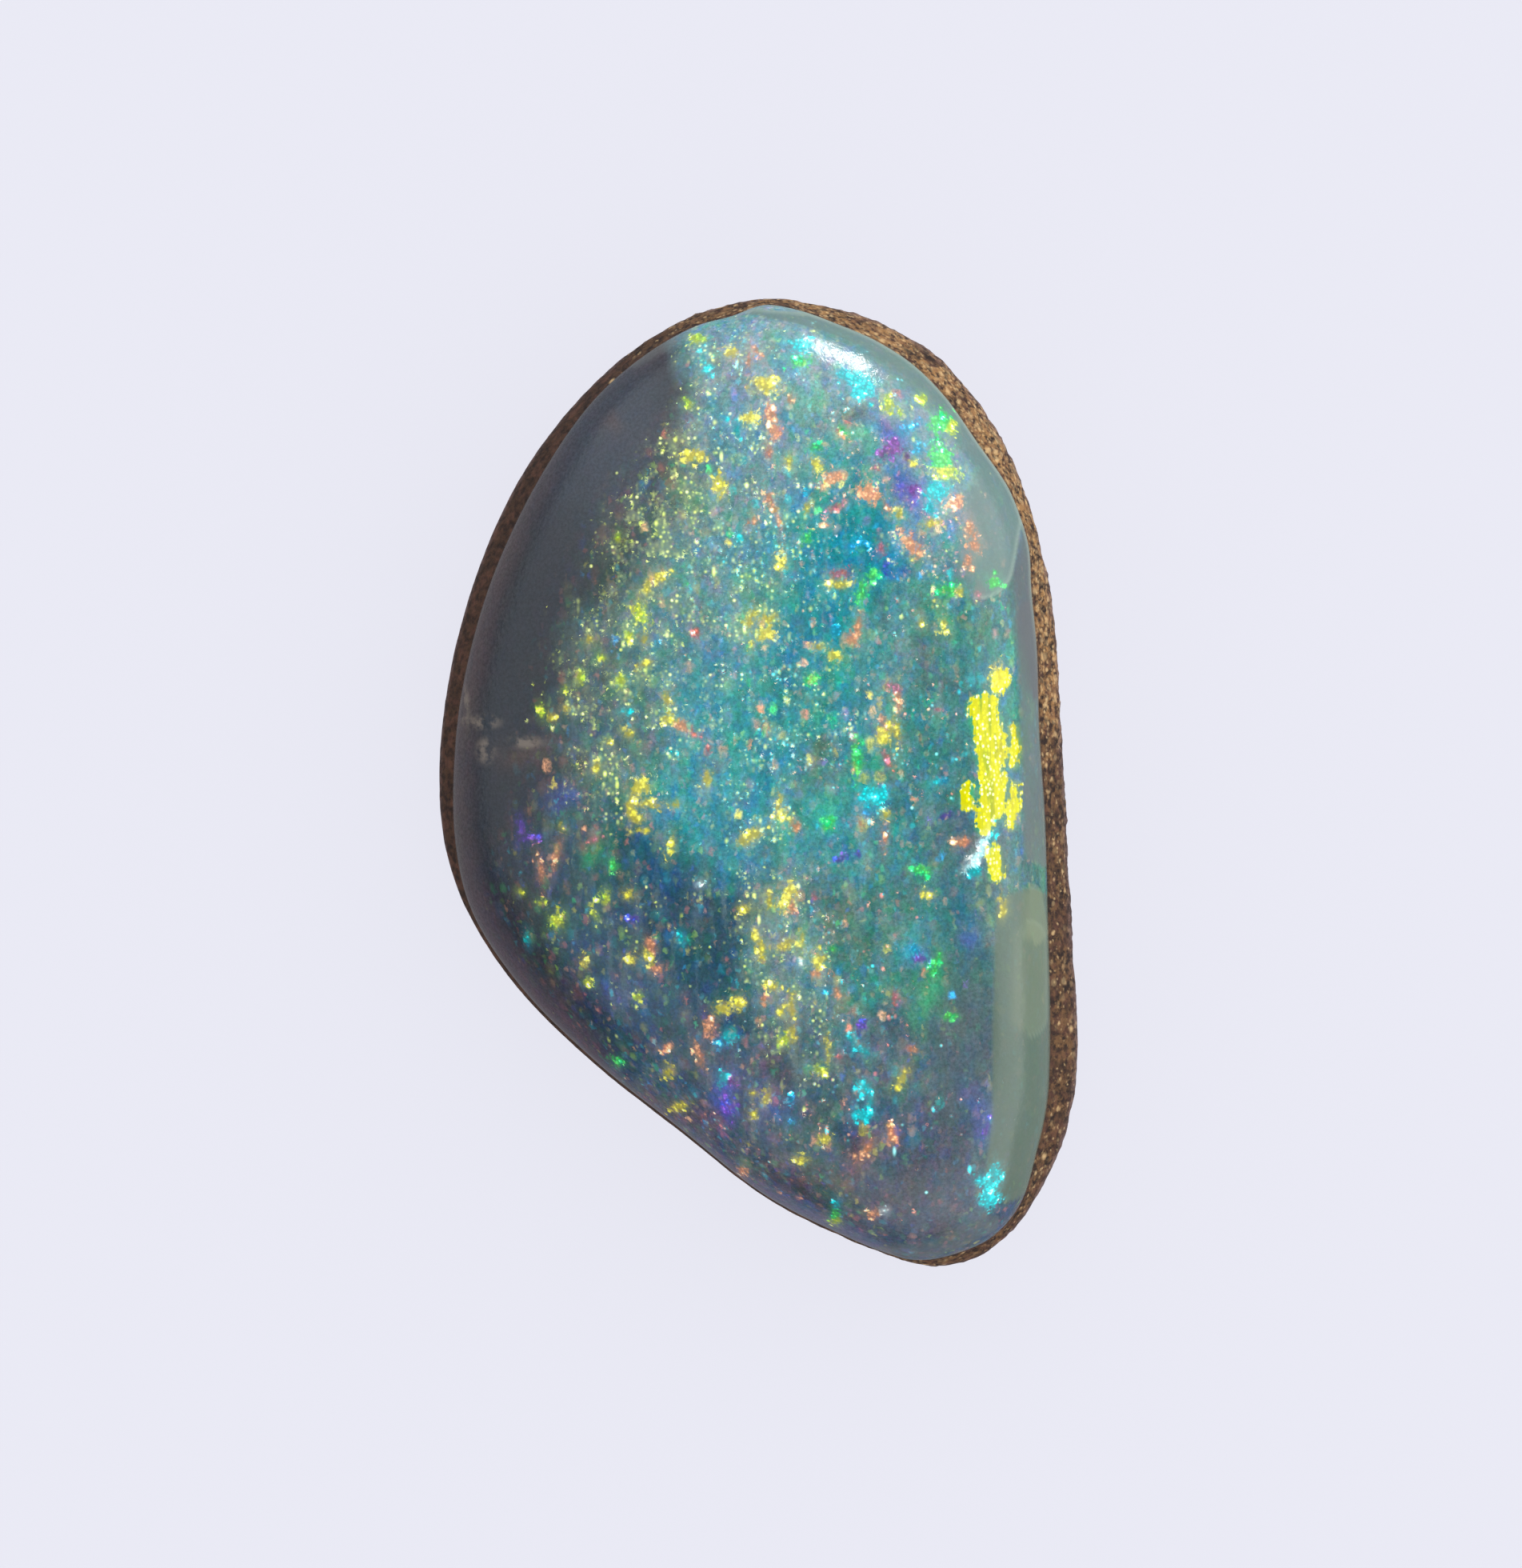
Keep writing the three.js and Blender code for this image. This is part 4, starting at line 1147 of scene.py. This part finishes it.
def opal_material():
    shader = Shader(bpy.data.materials.new("precious_opal"))
    place_mm = millimetres(shader)
    warped = wobbled(shader, place_mm)
    pinfire = shader.attribute("pinfire").outputs
    densities = shader.node("ShaderNodeSeparateColor", {0: pinfire["Color"]}).outputs
    milk_and_reflection = shader.attribute("milk_and_reflection").outputs
    colour = shader.attribute("body").outputs["Color"]
    colour = add_mottles(shader, colour, warped, pinfire["Alpha"])
    grain = shader.noise(place_mm, 17.0, 3.0, 0.7).outputs[0]
    colour = shader.mix(1.0, colour, shader.rise(grain, 0.25, 0.75, 0.75, 1.25), "MULTIPLY")
    colour = add_flecks(shader, colour, warped, pinfire["Alpha"])
    colour = add_flakes(shader, colour, warped, densities[2])
    colour = add_pinfire(shader, colour, place_mm, densities)
    colour = add_dust(shader, colour, place_mm)
    # Painted reflections on the steep sides, laid on as milky opal over the body colour
    colour = shader.mix(milk_and_reflection["Alpha"], colour, milk_and_reflection["Color"])
    colour = add_slab(shader, colour, place_mm)
    colour = add_flashes(shader, colour, warped, place_mm)
    colour = shader.vector("MINIMUM", colour, (BRIGHTEST, BRIGHTEST, BRIGHTEST))
    peel = shader.noise(place_mm, 9.0, 4.0, 0.6).outputs[0]
    polish = shader.node("ShaderNodeBump", {"Strength": 1.0, "Distance": 0.008 * MM, "Height": peel})
    return shader.finish({
        "Base Color": colour,
        "Roughness": 0.12,
        "IOR": 1.45,
        "Normal": polish.outputs[0],
    })


def ironstone_material():
    """Brown ironstone: dark at the seam and on the left, sandy and golden at the upper right."""
    shader = Shader(bpy.data.materials.new("brown_ironstone"))
    place_mm = shader.vector("MULTIPLY", millimetres(shader), (1.0, 1.0, 0.6))
    level = shader.attribute("level").outputs["Fac"]
    warmth = shader.attribute("warmth").outputs["Fac"]
    cloud = shader.noise(place_mm, 2.2, 5.0, 0.65).outputs[0]
    earth = shader.noise(place_mm, 7.0, 4.0, 0.65).outputs[0]
    red = shader.noise(place_mm, 4.0, 3.0, 0.6).outputs["Color"]
    below_seam = shader.rise(level, 0.0, 0.12, 0.4, 1.0)
    above_girdle = shader.rise(level, 1.1, 0.7, 0.35, 1.0)
    sandy = shader.product(warmth, below_seam, above_girdle, shader.rise(cloud, 0.32, 0.55, 0.2, 1.3))
    colour = shader.mix(shader.rise(earth, 0.35, 0.65), shader.colour("dark brown"), shader.colour("brown"))
    colour = shader.mix(shader.product(sandy, shader.rise(earth, 0.4, 0.6)), colour, shader.colour("ochre"))
    colour = shader.mix(shader.rise(red, 0.45, 0.65, 0.0, 0.5), colour, shader.colour("russet"))
    for scale, radius, strength in SAND_LAYERS:
        distance, random = shader.cells(place_mm, scale)
        lit = shader.math("LESS_THAN", random[0], shader.math("MULTIPLY", sandy, 0.6))
        core = shader.rise(distance, radius, 0.1)
        grain = shader.product(core, shader.rise(random[1], 0.0, 1.0, 0.2, 1.0), lit, strength)
        colour = shader.mix(grain, colour, shader.colour("sand"))
        pit = shader.product(core, shader.rise(random[2], 0.78, 0.88), strength)
        colour = shader.mix(pit, colour, shader.colour("pit"))
    worn = shader.rise(earth, 0.4, 0.6, 0.25, 1.0)
    outer = shader.product(shader.rise(level, 0.55, 1.0, 0.0, 0.55), shader.rise(level, 1.5, 1.0), worn)
    colour = shader.mix(outer, colour, shader.colour("mauve"))
    relief = shader.node("ShaderNodeBump", {"Strength": 0.8, "Distance": 0.06 * MM, "Height": earth})
    return shader.finish({
        "Base Color": colour,
        "Roughness": 0.75,
        "Specular IOR Level": 0.3,
        "Normal": relief.outputs[0],
    })


def build_stone():
    points, faces, opal_start = stone_mesh()
    mesh = bpy.data.meshes.new("boulder_opal")
    low, high = (np.array(corner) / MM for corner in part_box(NODE))
    outline = closed_curve(GIRDLE)
    shift = (low + high)[:2] / 2 - (outline.min(axis=0) + outline.max(axis=0)) / 2
    placed = np.clip(points + [*shift, 0], low, high)
    mesh.from_pydata((placed * MM).tolist(), [], faces)
    mesh.shade_smooth()
    mesh.materials.append(ironstone_material())
    mesh.materials.append(opal_material())
    slots = np.zeros(len(faces), np.int32)
    slots[opal_start:] = 1
    mesh.polygons.foreach_set("material_index", slots)
    paint_stone(mesh, points)
    stone = bpy.data.objects.new("boulder_opal", mesh)
    bpy.context.scene.collection.objects.link(stone)
    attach(stone, "root")
    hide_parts(NODE)


def build_floor():
    shader = Shader(bpy.data.materials.new("pale_paper"))
    material = shader.finish({
        "Base Color": FLOOR_COLOUR,
        "Roughness": 0.9,
        "Specular IOR Level": 0.0,
        "Emission Color": FLOOR_GLOW,
        "Emission Strength": 1.0,
    })
    half = FLOOR_SIZE * MM / 2
    mesh = bpy.data.meshes.new("floor")
    level = -FLOOR_DROP * MM
    corners = [(-half, -half, level), (half, -half, level), (half, half, level), (-half, half, level)]
    mesh.from_pydata(corners, [], [(0, 1, 2, 3)])
    mesh.materials.append(material)
    floor = bpy.data.objects.new("floor", mesh)
    floor.visible_glossy = False
    bpy.context.scene.collection.objects.link(floor)


def light_world():
    """Soft light from all round, mostly from the upper right, and dim where the crown mirrors it."""
    shader = Shader(bpy.data.worlds.new("studio"))
    direction = shader.node("ShaderNodeTexCoord", {}).outputs["Generated"]
    height = shader.node("ShaderNodeSeparateXYZ", {0: direction}).outputs["Z"]
    lean = {0: direction, 1: WORLD_LEAN}
    lean = shader.node("ShaderNodeVectorMath", lean, operation="DOT_PRODUCT").outputs["Value"]
    strength = shader.math("ADD", lean, 1.0)
    for low, high, at_low, at_high in WORLD_FADES:
        fade = dict(enumerate((height, low, high, at_low, at_high)))
        strength = shader.product(strength, shader.node("ShaderNodeMapRange", fade).outputs[0])
    sky = shader.node("ShaderNodeBackground", {"Color": WORLD_COLOUR, "Strength": strength})
    shader.node("ShaderNodeOutputWorld", {0: sky.outputs[0]})
    bpy.context.scene.world = shader.owner


def crown_normal(x, y):
    step = 0.01
    slope_x = (opal_height(x + step, y) - opal_height(x - step, y)) / (2 * step)
    slope_y = (opal_height(x, y + step) - opal_height(x, y - step)) / (2 * step)
    return Vector((-slope_x, -slope_y, 1)).normalized()


def add_lamp():
    """A lamp that shows only as a mirrored light on the crown."""
    normal = crown_normal(*HIGHLIGHT)
    mirrored = 2 * normal.z * normal - Vector((0, 0, 1))
    spot = Vector((*HIGHLIGHT, float(opal_height(*HIGHLIGHT))))
    lamp = bpy.data.lights.new("lamp", "AREA")
    lamp.shape = "ELLIPSE"
    lamp.size = LAMP_SIZE[0] * MM
    lamp.size_y = LAMP_SIZE[1] * MM
    lamp.energy = 1.0
    holder = bpy.data.objects.new("lamp", lamp)
    holder.location = (spot + mirrored * LAMP_DISTANCE) * MM
    holder.rotation_euler = mirrored.to_track_quat("Z", "Y").to_euler()
    holder.visible_diffuse = False
    bpy.context.scene.collection.objects.link(holder)


def add_camera():
    lens = bpy.data.cameras.new("camera")
    lens.sensor_width = SENSOR
    lens.lens = SENSOR * CAMERA_DISTANCE / VIEW_HEIGHT
    lens.clip_start = 0.01
    lens.clip_end = 10
    camera = bpy.data.objects.new("camera", lens)
    camera.location = Vector((*CAMERA_OFFSET, VIEW_LEVEL + CAMERA_DISTANCE)) * MM
    bpy.context.scene.collection.objects.link(camera)
    bpy.context.scene.camera = camera


build_stone()
build_floor()
light_world()
add_lamp()
add_camera()
bpy.context.scene.view_settings.view_transform = "Standard"
